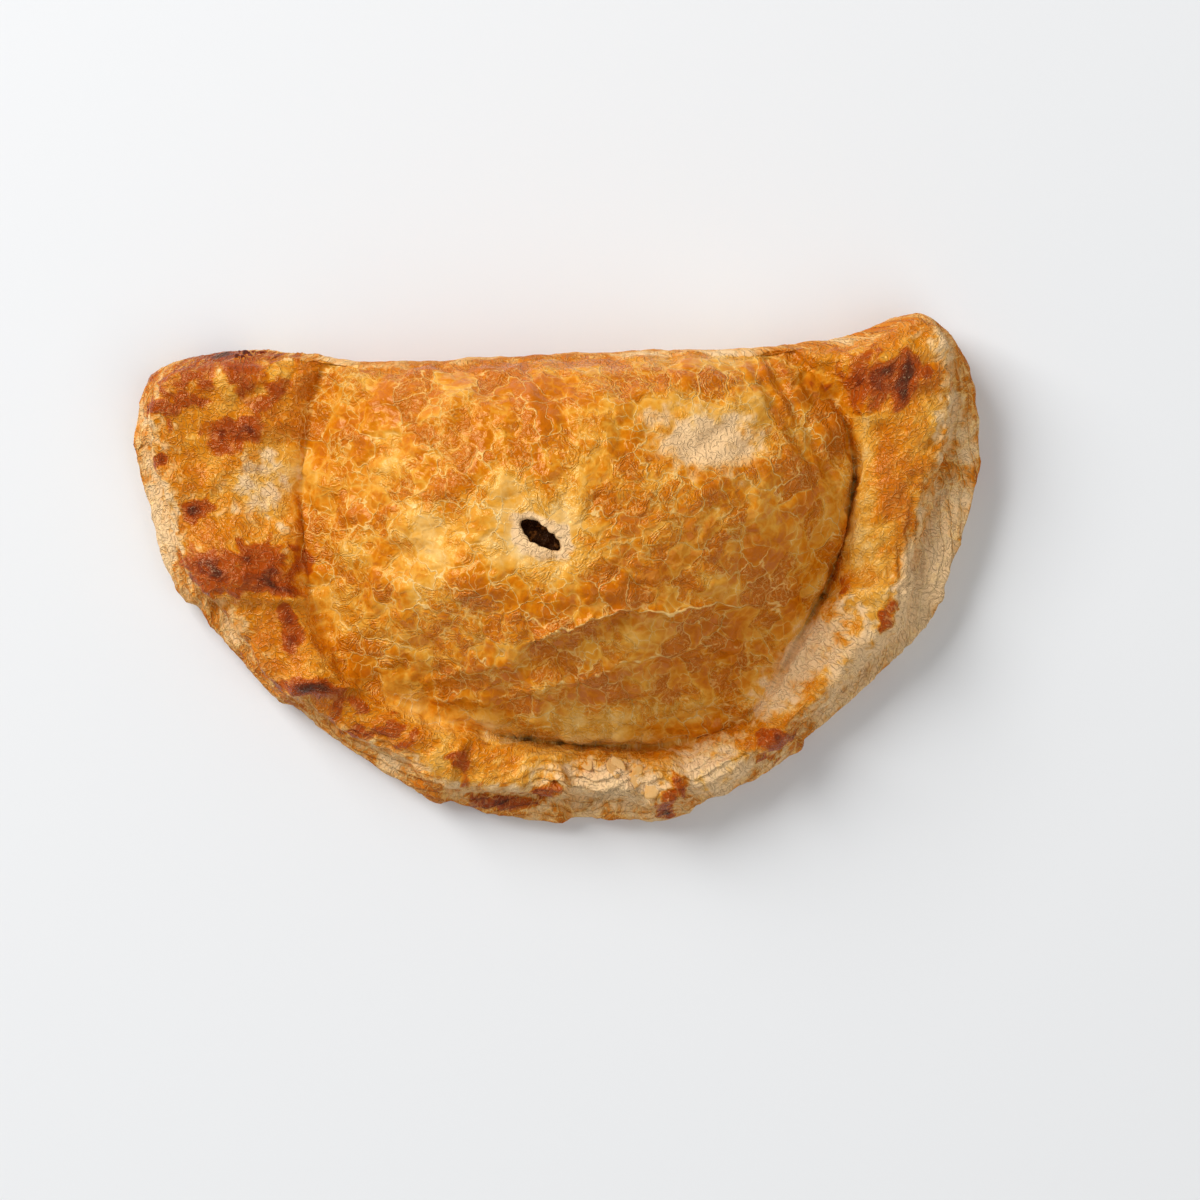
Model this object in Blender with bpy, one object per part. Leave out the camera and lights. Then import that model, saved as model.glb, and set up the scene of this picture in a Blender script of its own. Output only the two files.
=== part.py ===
"""A baked Cornish pasty: a D-shaped pastry with a filled dome, a crimped rim and a steam vent.

X runs along the straight fold edge, Y runs from the crimped front to the fold edge, and Z is up.
The origin is on the tray, under the middle of the pasty. The dimensions below are in millimetres,
and the meshes are written in metres.
"""

import math

import bmesh
import bpy
import numpy as np

MM = 0.001

# The dome's height above the tray, and the point from which the sizes round the pasty are read
DOME_HEIGHT = 46.0
DOME_CENTRE = (2.0, 7.0)

# Outline of the pasty seen from above, 200 mm long and 120 mm deep, anticlockwise from the right tip
OUTLINE = (
    (86.0, 59.7),
    (71.0, 55.5),
    (50.0, 52.0),
    (13.0, 50.8),
    (-41.0, 48.4),
    (-60.0, 50.5),
    (-80.0, 51.0),
    (-95.0, 46.0),
    (-99.8, 33.0),
    (-97.5, 17.5),
    (-88.5, -5.5),
    (-69.0, -27.0),
    (-46.0, -45.5),
    (-20.0, -57.5),
    (2.0, -59.4),
    (27.0, -58.6),
    (46.0, -50.0),
    (70.0, -31.5),
    (88.0, -11.0),
    (98.0, 14.0),
    (100.0, 34.0),
    (95.5, 51.0),
)

# The part of the outline where the sheet of dough is folded over, between these bearings in degrees
FOLD_EDGE_BEARINGS = (33, 153)

# The dome's foot. It is the crease beside the rim, and it closes behind the fold edge.
DOME_FOOT = (
    (52.0, 53.0),
    (28.0, 70.0),
    (-4.0, 76.0),
    (-34.0, 68.0),
    (-53.0, 50.0),
    (-58.5, 31.0),
    (-60.0, 13.0),
    (-56.5, -10.0),
    (-46.0, -26.5),
    (-25.0, -37.0),
    (1.0, -41.8),
    (27.0, -41.8),
    (46.0, -35.0),
    (57.0, -17.0),
    (66.5, 2.0),
    (70.0, 24.0),
    (64.5, 40.0),
)
FOOT_INSET_ON_FOLD = 4.0

# What changes round the pasty, as (bearing from the dome's centre in degrees, value)
UNDERLAYER_WIDTH = (
    (30, 2.5),
    (21, 6.0),
    (15, 8.0),
    (8, 9.7),
    (357, 10.0),
    (350, 8.5),
    (343, 4.2),
    (330, 4.0),
    (305, 3.0),
    (290, 3.0),
    (278, 6.0),
    (260, 6.5),
    (247, 3.5),
    (233, 5.5),
    (212, 2.5),
    (198, 5.0),
    (175, 5.5),
    (158, 3.5),
    (147, 1.6),
    (40, 1.6),
)
ROLL_HEIGHT = (
    (30, 22.5),
    (12, 20.5),
    (350, 18.0),
    (330, 15.5),
    (300, 14.5),
    (270, 14.0),
    (240, 15.5),
    (210, 17.0),
    (180, 18.0),
    (152, 19.0),
)
FOOT_HEIGHT = (
    (30, 18.5),
    (12, 15.5),
    (345, 11.5),
    (300, 9.0),
    (270, 9.5),
    (235, 11.5),
    (205, 13.5),
    (175, 14.5),
    (152, 16.0),
)
ROLL_EDGE_DROP = (
    (28, 3.0),
    (5, 4.5),
    (345, 4.5),
    (300, 3.5),
    (270, 4.5),
    (235, 4.5),
    (200, 4.5),
    (152, 3.0),
)
CREST_PLACE = (
    (30, 0.50),
    (0, 0.48),
    (348, 0.60),
    (325, 0.72),
    (300, 0.62),
    (270, 0.55),
    (230, 0.50),
    (180, 0.42),
)
ROLL_FULLNESS = (
    (30, 0.90),
    (10, 0.65),
    (350, 0.80),
    (322, 1.40),
    (300, 1.10),
    (280, 0.70),
    (250, 0.80),
    (222, 1.30),
    (190, 1.15),
    (150, 1.10),
)
DOME_STEEPNESS = (
    (150, 1.15),
    (195, 1.25),
    (222, 1.40),
    (246, 1.00),
    (266, 0.72),
    (284, 0.75),
    (315, 1.20),
    (345, 1.05),
    (10, 0.85),
    (28, 1.00),
)
WIDEST_HEIGHT = (
    (28, 11.0),
    (5, 10.0),
    (345, 9.0),
    (330, 6.5),
    (270, 4.5),
    (220, 5.0),
    (175, 6.5),
    (152, 8.0),
    (141, 13.0),
    (44, 13.0),
)
BASE_INSET = ((28, 5.5), (350, 3.0), (270, 2.5), (190, 3.0), (150, 5.0), (141, 6.0), (44, 6.0))

# How the sections are rounded
DOME_FULLNESS = 2.3
FOLD_FULLNESS = 2.2
FOLD_REACH = 0.72

# A rim narrower than this has no full roll
NARROW_ROLL = 12.0

# The narrow groove along the crease, deep on the right and gone on the lower left
CREASE_DEPTH = (
    (30, 0.0),
    (22, 1.0),
    (8, 1.9),
    (352, 1.3),
    (338, 0.0),
    (305, 0.0),
    (290, 0.7),
    (262, 1.3),
    (248, 0.4),
    (236, 0.0),
    (205, 0.0),
    (180, 0.3),
    (160, 0.3),
    (150, 0.0),
)
CREASE_WIDTH = 1.2

# Crimps: outer and inner end of the line where each overlap ends, and the height of its step
CRIMPS = (
    ((-92.0, -7.5), (-60.0, -8.0), 3.0),
    ((-67.0, -31.5), (-49.5, -28.5), 3.2),
    ((-27.5, -56.0), (-21.5, -40.0), 2.6),
    ((2.0, -61.0), (1.0, -44.0), 2.4),
    ((32.0, -60.0), (27.0, -44.0), 2.8),
    ((58.0, -43.0), (48.0, -35.0), 2.8),
    ((86.0, -6.0), (64.0, -4.0), 3.0),
)
CRIMP_RISE = 24.0
CRIMP_FALL = 2.2
CRIMP_OVERHANG = 0.5

# Folds of the dough over the filling, each with its drop on the right of its direction
DOME_FOLDS = (
    (((-30.0, -27.5), (-12.0, -23.0), (-2.0, -17.0)), 2.0),
    (((-2.0, -17.0), (10.0, -12.5), (30.0, -10.5), (48.0, -9.5)), 3.6),
    (((-38.0, -31.0), (-20.0, -32.0), (0.0, -28.0), (22.0, -22.0), (44.0, -18.5)), 2.2),
)
FOLD_RUN = 3.6
FOLD_FADE = 9.0
FOLD_SPREAD = 22.0

# Pleats and soft valleys of the dome, each with its depth and half-width
PLEATS = (
    (((50.0, 48.5), (55.5, 37.0), (62.0, 26.0), (66.0, 17.0)), 1.0, 1.6),
    (((57.0, 46.0), (62.5, 35.0), (67.0, 24.0)), 0.8, 1.4),
    (((-38.0, 1.0), (-30.0, 6.0), (-23.0, 12.0)), 1.2, 4.0),
    (((-40.0, -14.0), (-31.0, -21.0), (-26.0, -29.0)), 1.3, 5.0),
    (((-45.0, 25.0), (-37.0, 26.0)), 1.3, 7.0),
    (((24.0, 31.0), (42.0, 25.0)), 1.6, 8.0),
)

# Lifted flakes, blisters and pits of the rim: centre, radius and height
FLAKES = (
    ((14.0, -52.5), 5.0, 1.5),
    ((22.0, -47.0), 4.0, 1.4),
    ((-81.0, 47.0), 7.0, 1.3),
    ((-92.0, 41.0), 6.0, 1.1),
    ((-78.0, -1.0), 9.0, 1.8),
    ((-58.0, -30.0), 6.0, 1.4),
    ((-12.0, -55.0), 7.0, 1.2),
    ((52.0, -41.5), 4.5, 1.5),
    ((26.0, -57.0), 5.0, 1.2),
    ((77.0, 44.0), 9.0, 1.2),
    ((66.0, -5.5), 4.5, 1.2),
    ((-84.0, 28.0), 6.0, -1.2),
    ((-72.0, 14.0), 8.0, -1.6),
    ((-89.0, 20.0), 4.0, 1.0),
    ((60.0, -22.0), 6.0, -1.2),
)

# Steam vent: a short slanting cut through the crust, in a dip that leans to its lower side, and the
# filling that shows in it
VENT_CENTRE = (-3.3, 6.9)
VENT_LENGTH = 11.2
VENT_WIDTH = 4.0
VENT_TAPER = 1.24
VENT_ANGLE = math.radians(-36.0)
VENT_DIP = 2.0
VENT_DIP_WIDTH = 4.6
VENT_DIP_CENTRE = (-4.1, 5.6)
CRUST_THICKNESS = 4.5
POCKET_SIZE = (17.0, 11.0, 8.0)
FILLING_GAP = 0.35
FILLING_FLATNESS = 0.55
FILLING_LUMPS = 0.35

# Mesh density
SEGMENTS = 124
DOME_RINGS = 22
ROLL_RINGS = 12
SIDE_RINGS = 10
RING_EASING = 1.15
CURVE_SAMPLES = 744


def catmull_rom(a, b, c, d):
    """Points along the span from b to c of a smooth curve through a, b, c and d."""
    t = np.linspace(0, 1, 24, endpoint=False)[:, None]
    return 0.5 * (2 * b + (c - a) * t + (2 * a - 5 * b + 4 * c - d) * t**2 + (3 * b - a - 3 * c + d) * t**3)


def evenly(curve, samples):
    """The polyline resampled at equal distances along it."""
    reach = np.concatenate([[0], np.cumsum(np.linalg.norm(np.diff(curve, axis=0), axis=1))])
    at = np.linspace(0, reach[-1], samples)
    return np.stack([np.interp(at, reach, curve[:, k]) for k in (0, 1)], axis=1)


def closed_curve(points, samples):
    """A smooth closed curve through the points, as evenly spaced samples."""
    p = np.array(points, float)
    n = len(p)
    curve = np.concatenate([catmull_rom(p[i - 1], p[i], p[(i + 1) % n], p[(i + 2) % n]) for i in range(n)])
    return evenly(np.vstack([curve, curve[:1]]), samples + 1)[:-1]


def open_curve(points, samples):
    """A smooth open curve through the points, as evenly spaced samples."""
    p = np.array(points, float)
    p = np.vstack([2 * p[0] - p[1], p, 2 * p[-1] - p[-2]])
    curve = np.concatenate([catmull_rom(*p[i : i + 4]) for i in range(len(p) - 3)])
    return evenly(np.vstack([curve, p[-2:-1]]), samples)


def smooth(x):
    """Eases from 0 to 1 as x goes from 0 to 1."""
    x = np.clip(x, 0, 1)
    return x * x * (3 - 2 * x)


def bearing_of(points):
    """Bearings of the points from the dome's centre, in degrees from 0 to 360."""
    d = np.asarray(points, float) - DOME_CENTRE
    return np.degrees(np.arctan2(d[..., 1], d[..., 0])) % 360


def read(table, bearing):
    """Reads a (bearing, value) table at the bearings, easing between its entries."""
    rows = sorted((b % 360, v) for b, v in table)
    b = np.array([rows[-1][0] - 360, *[r[0] for r in rows], rows[0][0] + 360])
    v = np.array([rows[-1][1], *[r[1] for r in rows], rows[0][1]], float)
    i = np.clip(np.searchsorted(b, bearing, side="right") - 1, 0, len(b) - 2)
    return v[i] + (v[i + 1] - v[i]) * smooth((bearing - b[i]) / (b[i + 1] - b[i]))


def near_curve(p, curve):
    """Signed distance of each point to an open curve, positive on the right of its direction,
    and how far the point lies past the curve's ends."""
    nearest = np.full(p.shape[:-1], np.inf)
    signed = np.zeros(p.shape[:-1])
    past = np.zeros(p.shape[:-1])
    for i, (a, b) in enumerate(zip(curve[:-1], curve[1:])):
        ab = b - a
        along = ((p - a) @ ab) / (ab @ ab)
        off = p - a - np.clip(along, 0, 1)[..., None] * ab
        d = np.linalg.norm(off, axis=-1)
        on_left = ab[0] * off[..., 1] - ab[1] * off[..., 0] > 0
        before_start = -along if i == 0 else 0 * along
        after_end = along - 1 if i == len(curve) - 2 else 0 * along
        nearer = d < nearest
        nearest = np.where(nearer, d, nearest)
        signed = np.where(nearer, np.where(on_left, -d, d), signed)
        past = np.where(nearer, np.maximum(before_start, after_end) * np.linalg.norm(ab), past)
    return signed, np.maximum(past, 0)


def crimp_step(p):
    """Height that the overlaps of the crimp add at each point of the rim."""
    height = np.zeros(p.shape[:-1])
    for outer, inner, step in CRIMPS:
        outer, inner = np.array(outer), np.array(inner)
        half = 0.5 * np.linalg.norm(inner - outer)
        across = (inner - outer) / (2 * half)
        forward = np.array([across[1], -across[0]])
        ahead = (p - outer) @ forward
        sideways = np.abs((p - outer) @ across - half)
        lift = np.where(ahead < 0, smooth(1 + ahead / CRIMP_RISE), 1 - smooth(ahead / CRIMP_FALL))
        height += step * lift * smooth(2.2 - sideways / (half + 4))
    return height


def flakes(p):
    """Height of the lifted flakes, blisters and pits of the rim at each point."""
    height = np.zeros(p.shape[:-1])
    for centre, radius, lift in FLAKES:
        height += lift * np.exp(-((np.linalg.norm(p - centre, axis=-1) / radius) ** 4))
    return height


def dome_relief(p):
    """Height that the dome's folds, pleats, valleys and the dip round the vent add at each point."""
    z = np.zeros(p.shape[:-1])
    for points, drop in DOME_FOLDS:
        below, past = near_curve(p, open_curve(points, 24))
        fade = 1 - smooth(past / FOLD_FADE)
        fallen = np.where(below > 0, 1 - np.exp(-below / FOLD_RUN), 0) * np.exp(-np.abs(below) / FOLD_SPREAD)
        crest = 0.35 * np.exp(-((below / FOLD_RUN) ** 2))
        z += drop * (crest - fallen) * fade
    for points, depth, width in PLEATS:
        off, _ = near_curve(p, open_curve(points, 12))
        z -= depth * np.exp(-((off / width) ** 2))
    half = 0.35 * VENT_LENGTH * np.array([math.cos(VENT_ANGLE), math.sin(VENT_ANGLE)])
    off, _ = near_curve(p, np.array([VENT_DIP_CENTRE - half, VENT_DIP_CENTRE + half]))
    return z - VENT_DIP * np.exp(-((off / VENT_DIP_WIDTH) ** 2))


class Plan:
    """The pasty seen from above: its outline and the dome's foot on each spoke from the dome's centre."""

    def __init__(self, segments):
        outline = closed_curve(OUTLINE, CURVE_SAMPLES)
        tangent = np.roll(outline, -1, axis=0) - np.roll(outline, 1, axis=0)
        tangent /= np.linalg.norm(tangent, axis=1)[:, None]
        inward = np.stack([-tangent[:, 1], tangent[:, 0]], axis=1)
        outline = outline - inward * (CRIMP_OVERHANG * crimp_step(outline))[:, None]
        on_fold = (bearing_of(outline) > FOLD_EDGE_BEARINGS[0]) & (bearing_of(outline) < FOLD_EDGE_BEARINGS[1])
        self.fold_edge = outline[on_fold]
        self.middle = (outline.min(axis=0) + outline.max(axis=0)) / 2
        pick = np.arange(segments) * CURVE_SAMPLES // segments
        self.outline, self.inward = outline[pick], inward[pick]
        self.bearing = bearing_of(self.outline)
        self.find_foot()
        self.widest = read(WIDEST_HEIGHT, self.bearing)
        self.foot_height = read(FOOT_HEIGHT, self.bearing)
        self.under = read(UNDERLAYER_WIDTH, self.bearing)
        self.roll_edge = self.outline + self.inward * self.under[:, None]
        self.crest = read(ROLL_HEIGHT, self.bearing)
        self.drop = read(ROLL_EDGE_DROP, self.bearing)

    def find_foot(self):
        """Finds where each spoke crosses the dome's foot, or a line just inside the fold edge."""
        foot = closed_curve(DOME_FOOT, 240)
        order = np.argsort(bearing_of(foot))
        self.foot_bearings = bearing_of(foot)[order]
        self.foot_reaches = np.linalg.norm(foot - DOME_CENTRE, axis=1)[order]
        spoke = self.outline - DOME_CENTRE
        length = np.linalg.norm(spoke, axis=1)
        foot_reach = self.reach(self.bearing)
        shown_reach = np.minimum(foot_reach, length - FOOT_INSET_ON_FOLD)
        self.foot = DOME_CENTRE + spoke * (shown_reach / length)[:, None]
        self.fold = smooth((foot_reach - shown_reach) / 8)

    def reach(self, bearing):
        """Distance from the dome's centre to its foot at each bearing."""
        return np.interp(bearing, self.foot_bearings, self.foot_reaches, period=360)

    def dome_height(self, p):
        """Height of the dome over each point, before the fold edge rounds it off."""
        bearing = bearing_of(p)
        share = np.minimum(np.linalg.norm(p - DOME_CENTRE, axis=1) / self.reach(bearing), 1)
        foot = read(FOOT_HEIGHT, bearing)
        steepness = read(DOME_STEEPNESS, bearing)
        open_height = foot + (DOME_HEIGHT - foot) * (1 - share**DOME_FULLNESS) ** steepness
        return open_height + dome_relief(p) * (1 - share**12)

    def round_fold(self, p, z):
        """Brings a height down to the widest line of the fold edge, as a quarter of an oval."""
        off = np.abs(near_curve(p, self.fold_edge)[0])
        rise = np.maximum(z - self.widest, 0.1)
        t = np.clip(off / (FOLD_REACH * rise), 0, 1)
        rounded = self.widest + rise * np.sqrt(1 - (1 - t) ** FOLD_FULLNESS)
        return np.where(z > self.widest, rounded, z)

    def blend(self, rim, dome):
        """The rim's height where there is a rim, and the dome's where the fold edge has none."""
        return rim + (dome - rim) * self.fold

    def groove(self, p):
        """Depth of the narrow groove along the crease at each point of a ring."""
        off = np.linalg.norm(p - self.foot, axis=1) / CREASE_WIDTH
        return read(CREASE_DEPTH, self.bearing) * (1 - self.fold) * np.exp(-(off**2))


def dome_ring(plan, share):
    """The ring of points at this share of the way from the dome's centre to its foot."""
    p = DOME_CENTRE + (plan.foot - DOME_CENTRE) * share
    return np.column_stack([p, plan.round_fold(p, plan.dome_height(p)) - plan.groove(p)])


def roll_ring(plan, share):
    """The ring at this share of the way over the rolled rim, from the dome's foot to the roll's edge."""
    p = plan.foot + (plan.roll_edge - plan.foot) * share
    shoulder = plan.crest - 0.6 * plan.drop
    chord = plan.foot_height + (shoulder - plan.foot_height) * share
    across = share ** (math.log(0.5) / np.log(read(CREST_PLACE, plan.bearing)))
    swell = (4 * across * (1 - across)) ** read(ROLL_FULLNESS, plan.bearing)
    swell *= smooth(np.linalg.norm(plan.roll_edge - plan.foot, axis=1) / NARROW_ROLL)
    rim = chord + (plan.crest - 0.5 * (plan.foot_height + shoulder)) * swell
    rim += crimp_step(p) * smooth(4 * share) * (1 - 0.4 * share)
    rim += flakes(p) * smooth(4 * share)
    return np.column_stack([p, plan.round_fold(p, plan.blend(rim, plan.dome_height(p))) - plan.groove(p)])


def side_ring(plan, share):
    """The ring at this share of the way down the side: the step below the roll, the under-layer,
    the widest line and the curve in to the base."""
    base = read(BASE_INSET, plan.bearing)
    step = 0.6 * (crimp_step(plan.roll_edge) + flakes(plan.roll_edge))
    shoulder = plan.crest - 0.6 * plan.drop + step
    ledge = np.maximum(shoulder - plan.drop, plan.widest + 1.2)
    slope = ledge - plan.widest
    stations = (
        (0.00, plan.under, shoulder),
        (0.12, plan.under - 0.35, 0.5 * (shoulder + ledge)),
        (0.24, plan.under - 0.5, ledge),
        (0.42, 0.45 * plan.under, plan.widest + 0.65 * slope),
        (0.56, 0.12 * plan.under, plan.widest + 0.3 * slope),
        (0.68, 0 * base, plan.widest),
        (0.80, 0.12 * base, 0.60 * plan.widest),
        (0.90, 0.42 * base, 0.22 * plan.widest),
        (1.00, base, 0 * plan.widest),
    )
    inset, rim = between(stations, share)
    p = plan.outline + plan.inward * inset[:, None]
    if share < 0.67:
        rim = plan.round_fold(p, plan.blend(rim, plan.dome_height(p)))
    return np.column_stack([p, rim])


def between(stations, share):
    """Reads the stations' inset and height at a share between theirs."""
    at = np.array([s[0] for s in stations])
    i = min(int(np.searchsorted(at, share, side="right")) - 1, len(at) - 2)
    t = (share - at[i]) / (at[i + 1] - at[i])
    return [stations[i][k] + (stations[i + 1][k] - stations[i][k]) * t for k in (1, 2)]


def crust_rings(plan):
    """Every ring of the crust, from just off the dome's centre to the base."""
    rings = [dome_ring(plan, 1 - (1 - k / DOME_RINGS) ** RING_EASING) for k in range(1, DOME_RINGS)]
    rings += [roll_ring(plan, (k / ROLL_RINGS) ** RING_EASING) for k in range(ROLL_RINGS)]
    rings += [side_ring(plan, k / SIDE_RINGS) for k in range(SIDE_RINGS + 1)]
    return rings


def material(name, colour, roughness):
    """A plain dielectric finish."""
    mat = bpy.data.materials.new(name)
    mat.use_nodes = True
    shader = mat.node_tree.nodes["Principled BSDF"]
    shader.inputs["Base Color"].default_value = (*colour, 1)
    shader.inputs["Roughness"].default_value = roughness
    shader.inputs["Metallic"].default_value = 0
    return mat


def add_object(name, bm, collection, parent, finish=None):
    """A smooth-shaded object from a bmesh drawn in millimetres."""
    bmesh.ops.scale(bm, vec=(MM, MM, MM), verts=bm.verts)
    mesh = bpy.data.meshes.new(name)
    bm.to_mesh(mesh)
    bm.free()
    mesh.shade_smooth()
    if finish:
        mesh.materials.append(finish)
    obj = bpy.data.objects.new(name, mesh)
    obj.parent = parent
    collection.objects.link(obj)
    return obj


def make_crust(plan, collection, parent):
    """The crust: a UV sphere whose rings are drawn out to the pasty's, standing on one flat base."""
    rings = crust_rings(plan)
    bands = len(rings) + 2
    bm = bmesh.new()
    bmesh.ops.create_uvsphere(bm, u_segments=SEGMENTS, v_segments=bands, radius=1)
    below_base = []
    for v in bm.verts:
        ring = round(math.acos(max(-1, min(1, v.co.z))) / math.pi * bands)
        segment = round(math.atan2(v.co.y, v.co.x) / (2 * math.pi) * SEGMENTS) % SEGMENTS
        if ring == 0:
            v.co = (*DOME_CENTRE, rings[0][:, 2].mean())
        elif ring <= len(rings):
            v.co = rings[ring - 1][segment]
        else:
            below_base.append(v)
    bmesh.ops.delete(bm, geom=below_base, context="VERTS")
    bmesh.ops.holes_fill(bm, edges=[e for e in bm.edges if e.is_boundary], sides=0)
    bmesh.ops.recalc_face_normals(bm, faces=bm.faces)
    finish = material("baked_crust", (0.71, 0.36, 0.10), 0.45)
    return add_object("pastry", bm, collection, parent, finish)


def place_at_vent(obj, height):
    """Turns an object along the vent and lifts it to a height."""
    obj.location = (VENT_CENTRE[0] * MM, VENT_CENTRE[1] * MM, height * MM)
    obj.rotation_euler.z = VENT_ANGLE
    return obj


def make_vent_cutters(collection, parent, surface):
    """The slit through the crust, which is wider below, and the pocket under it."""
    pocket_roof = surface - CRUST_THICKNESS
    bm = bmesh.new()
    bottom, top, depth = 0.5 * VENT_TAPER, 0.5, 2.6 * CRUST_THICKNESS
    bmesh.ops.create_cone(bm, cap_ends=True, segments=20, radius1=bottom, radius2=top, depth=depth)
    bmesh.ops.scale(bm, vec=(VENT_LENGTH, VENT_WIDTH, 1), verts=bm.verts)
    slit = place_at_vent(add_object("vent_slit", bm, collection, parent), surface - 0.5 * CRUST_THICKNESS)
    bm = bmesh.new()
    bmesh.ops.create_uvsphere(bm, u_segments=24, v_segments=12, radius=0.5)
    bmesh.ops.scale(bm, vec=POCKET_SIZE, verts=bm.verts)
    pocket_middle = pocket_roof - 0.35 * POCKET_SIZE[2]
    pocket = place_at_vent(add_object("vent_pocket", bm, collection, parent), pocket_middle)
    for cutter in (slit, pocket):
        cutter.hide_render = True
        cutter.display_type = "WIRE"
    return slit, pocket


def make_filling(collection, parent, pocket):
    """The filling that shows in the vent: a lump with an uneven top that lies in the pocket."""
    bm = bmesh.new()
    bmesh.ops.create_uvsphere(bm, u_segments=24, v_segments=12, radius=0.5)
    size = [s - 2 * FILLING_GAP for s in POCKET_SIZE]
    bmesh.ops.scale(bm, vec=size, verts=bm.verts)
    for v in bm.verts:
        lumps = FILLING_LUMPS * math.sin(1.3 * v.co.x) * math.cos(1.1 * v.co.y)
        if v.co.z > 0:
            v.co.z = FILLING_FLATNESS * v.co.z + lumps * v.co.z / size[2]
    finish = material("meat_filling", (0.09, 0.035, 0.015), 0.4)
    filling = add_object("filling", bm, collection, parent, finish)
    filling.location = pocket.location
    filling.rotation_euler = pocket.rotation_euler
    return filling


def cut(obj, cutter):
    """Cuts the cutter's shape out of the object."""
    modifier = obj.modifiers.new(cutter.name, "BOOLEAN")
    modifier.operation = "DIFFERENCE"
    modifier.solver = "EXACT"
    modifier.object = cutter


def main():
    for obj in list(bpy.data.objects):
        bpy.data.objects.remove(obj)
    pasty = bpy.data.collections.new("cornish_pasty")
    cutters = bpy.data.collections.new("cutters")
    for collection in (pasty, cutters):
        bpy.context.scene.collection.children.link(collection)
    plan = Plan(SEGMENTS)
    centre = bpy.data.objects.new("centre", None)
    centre.location = (-plan.middle[0] * MM, -plan.middle[1] * MM, 0)
    pasty.objects.link(centre)
    crust = make_crust(plan, pasty, centre)
    surface = plan.dome_height(np.array([VENT_CENTRE] * SEGMENTS)).mean()
    slit, pocket = make_vent_cutters(cutters, centre, surface)
    cut(crust, slit)
    cut(crust, pocket)
    make_filling(pasty, centre, pocket)


main()
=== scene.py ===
import math

import bpy
import numpy as np
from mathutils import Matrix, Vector
from mathutils.bvhtree import BVHTree


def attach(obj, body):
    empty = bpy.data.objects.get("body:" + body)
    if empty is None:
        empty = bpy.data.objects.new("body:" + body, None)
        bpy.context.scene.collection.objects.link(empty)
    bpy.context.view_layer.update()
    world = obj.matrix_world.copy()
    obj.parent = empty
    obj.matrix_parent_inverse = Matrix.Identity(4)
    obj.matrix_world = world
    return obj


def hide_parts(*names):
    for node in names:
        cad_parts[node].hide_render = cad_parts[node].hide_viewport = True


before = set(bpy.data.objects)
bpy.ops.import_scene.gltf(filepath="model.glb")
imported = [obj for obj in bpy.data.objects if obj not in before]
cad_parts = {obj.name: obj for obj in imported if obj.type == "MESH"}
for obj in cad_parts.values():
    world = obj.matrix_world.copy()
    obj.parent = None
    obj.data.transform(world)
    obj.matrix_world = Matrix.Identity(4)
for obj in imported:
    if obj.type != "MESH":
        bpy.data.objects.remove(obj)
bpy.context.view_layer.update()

# A baked Cornish pasty, seen from straight above. Shapes are drawn in millimetres.
MM = 0.001

# The seed of the random draws for the loose flakes and for the filling
SEED = 5

# The dome's height, and the point from which the sizes round the pasty are read
DOME_HEIGHT = 46.0
DOME_CENTRE = (2.0, 7.0)

# Outline of the pasty seen from above, anticlockwise from the right tip
OUTLINE = (
    (86, 59.7), (71, 55.5), (50, 52), (13, 50.8), (-41, 48.4), (-60, 50.5), (-80, 51),
    (-95, 46), (-99.8, 33), (-97.5, 17.5), (-88.5, -5.5), (-69, -27), (-46, -45.5),
    (-20, -57.5), (2, -59.4), (27, -58.6), (46, -50), (70, -31.5), (88, -11), (98, 14),
    (100, 34), (95.5, 51),
)
FOLD_EDGE_BEARINGS = (33, 153)

# The dome's foot. It is the crease beside the rim, and it closes behind the fold edge.
DOME_FOOT = (
    (52, 53), (28, 70), (-4, 76), (-34, 68), (-53, 50), (-58.5, 31), (-60, 13),
    (-56.5, -10), (-46, -26.5), (-25, -37), (1, -41.8), (27, -41.8), (46, -35),
    (57, -17), (66.5, 2), (70, 24), (64.5, 40),
)
FOOT_INSET_ON_FOLD = 4.0
FOLD_BLEND = 8.0

# What changes round the pasty, as (bearing from the dome's centre in degrees, value)
UNDERLAYER_WIDTH = (
    (30, 2.5), (21, 6), (15, 8), (8, 9.7), (357, 10), (350, 8.5), (343, 4.2), (330, 4), (305, 3),
    (290, 3), (278, 6), (260, 6.5), (247, 3.5), (233, 5.5), (212, 2.5), (198, 5), (175, 5.5),
    (158, 3.5), (147, 1.6), (40, 1.6),
)
ROLL_HEIGHT = (
    (30, 22.5), (12, 20.5), (350, 18), (330, 15.5), (300, 14.5), (270, 14), (240, 15.5), (210, 17),
    (180, 18), (152, 19),
)
FOOT_HEIGHT = (
    (30, 18.5), (12, 15.5), (345, 11.5), (300, 9), (270, 9.5), (235, 11.5), (205, 13.5), (175, 14.5),
    (152, 16),
)
ROLL_EDGE_DROP = (
    (28, 3), (5, 4.5), (345, 4.5), (300, 3.5), (270, 4.5), (235, 4.5), (200, 4.5), (152, 3),
)
CREST_PLACE = (
    (30, 0.50), (0, 0.48), (348, 0.60), (325, 0.72), (300, 0.62), (270, 0.55), (230, 0.50), (180, 0.42),
)
DOME_STEEPNESS = (
    (150, 1.15), (195, 1.25), (222, 1.40), (246, 1.00), (266, 0.72), (284, 0.75), (315, 1.20), (345, 1.05),
    (10, 0.85), (28, 1),
)
WIDEST_HEIGHT = (
    (28, 11), (5, 10), (345, 9), (330, 6.5), (270, 4.5), (220, 5), (175, 6.5), (152, 8),
    (141, 13), (44, 13),
)
ROLL_FULLNESS = (
    (30, 0.90), (10, 0.65), (350, 0.80), (322, 1.40), (300, 1.10), (280, 0.70), (250, 0.80), (222, 1.30),
    (190, 1.15), (150, 1.10),
)
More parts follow.
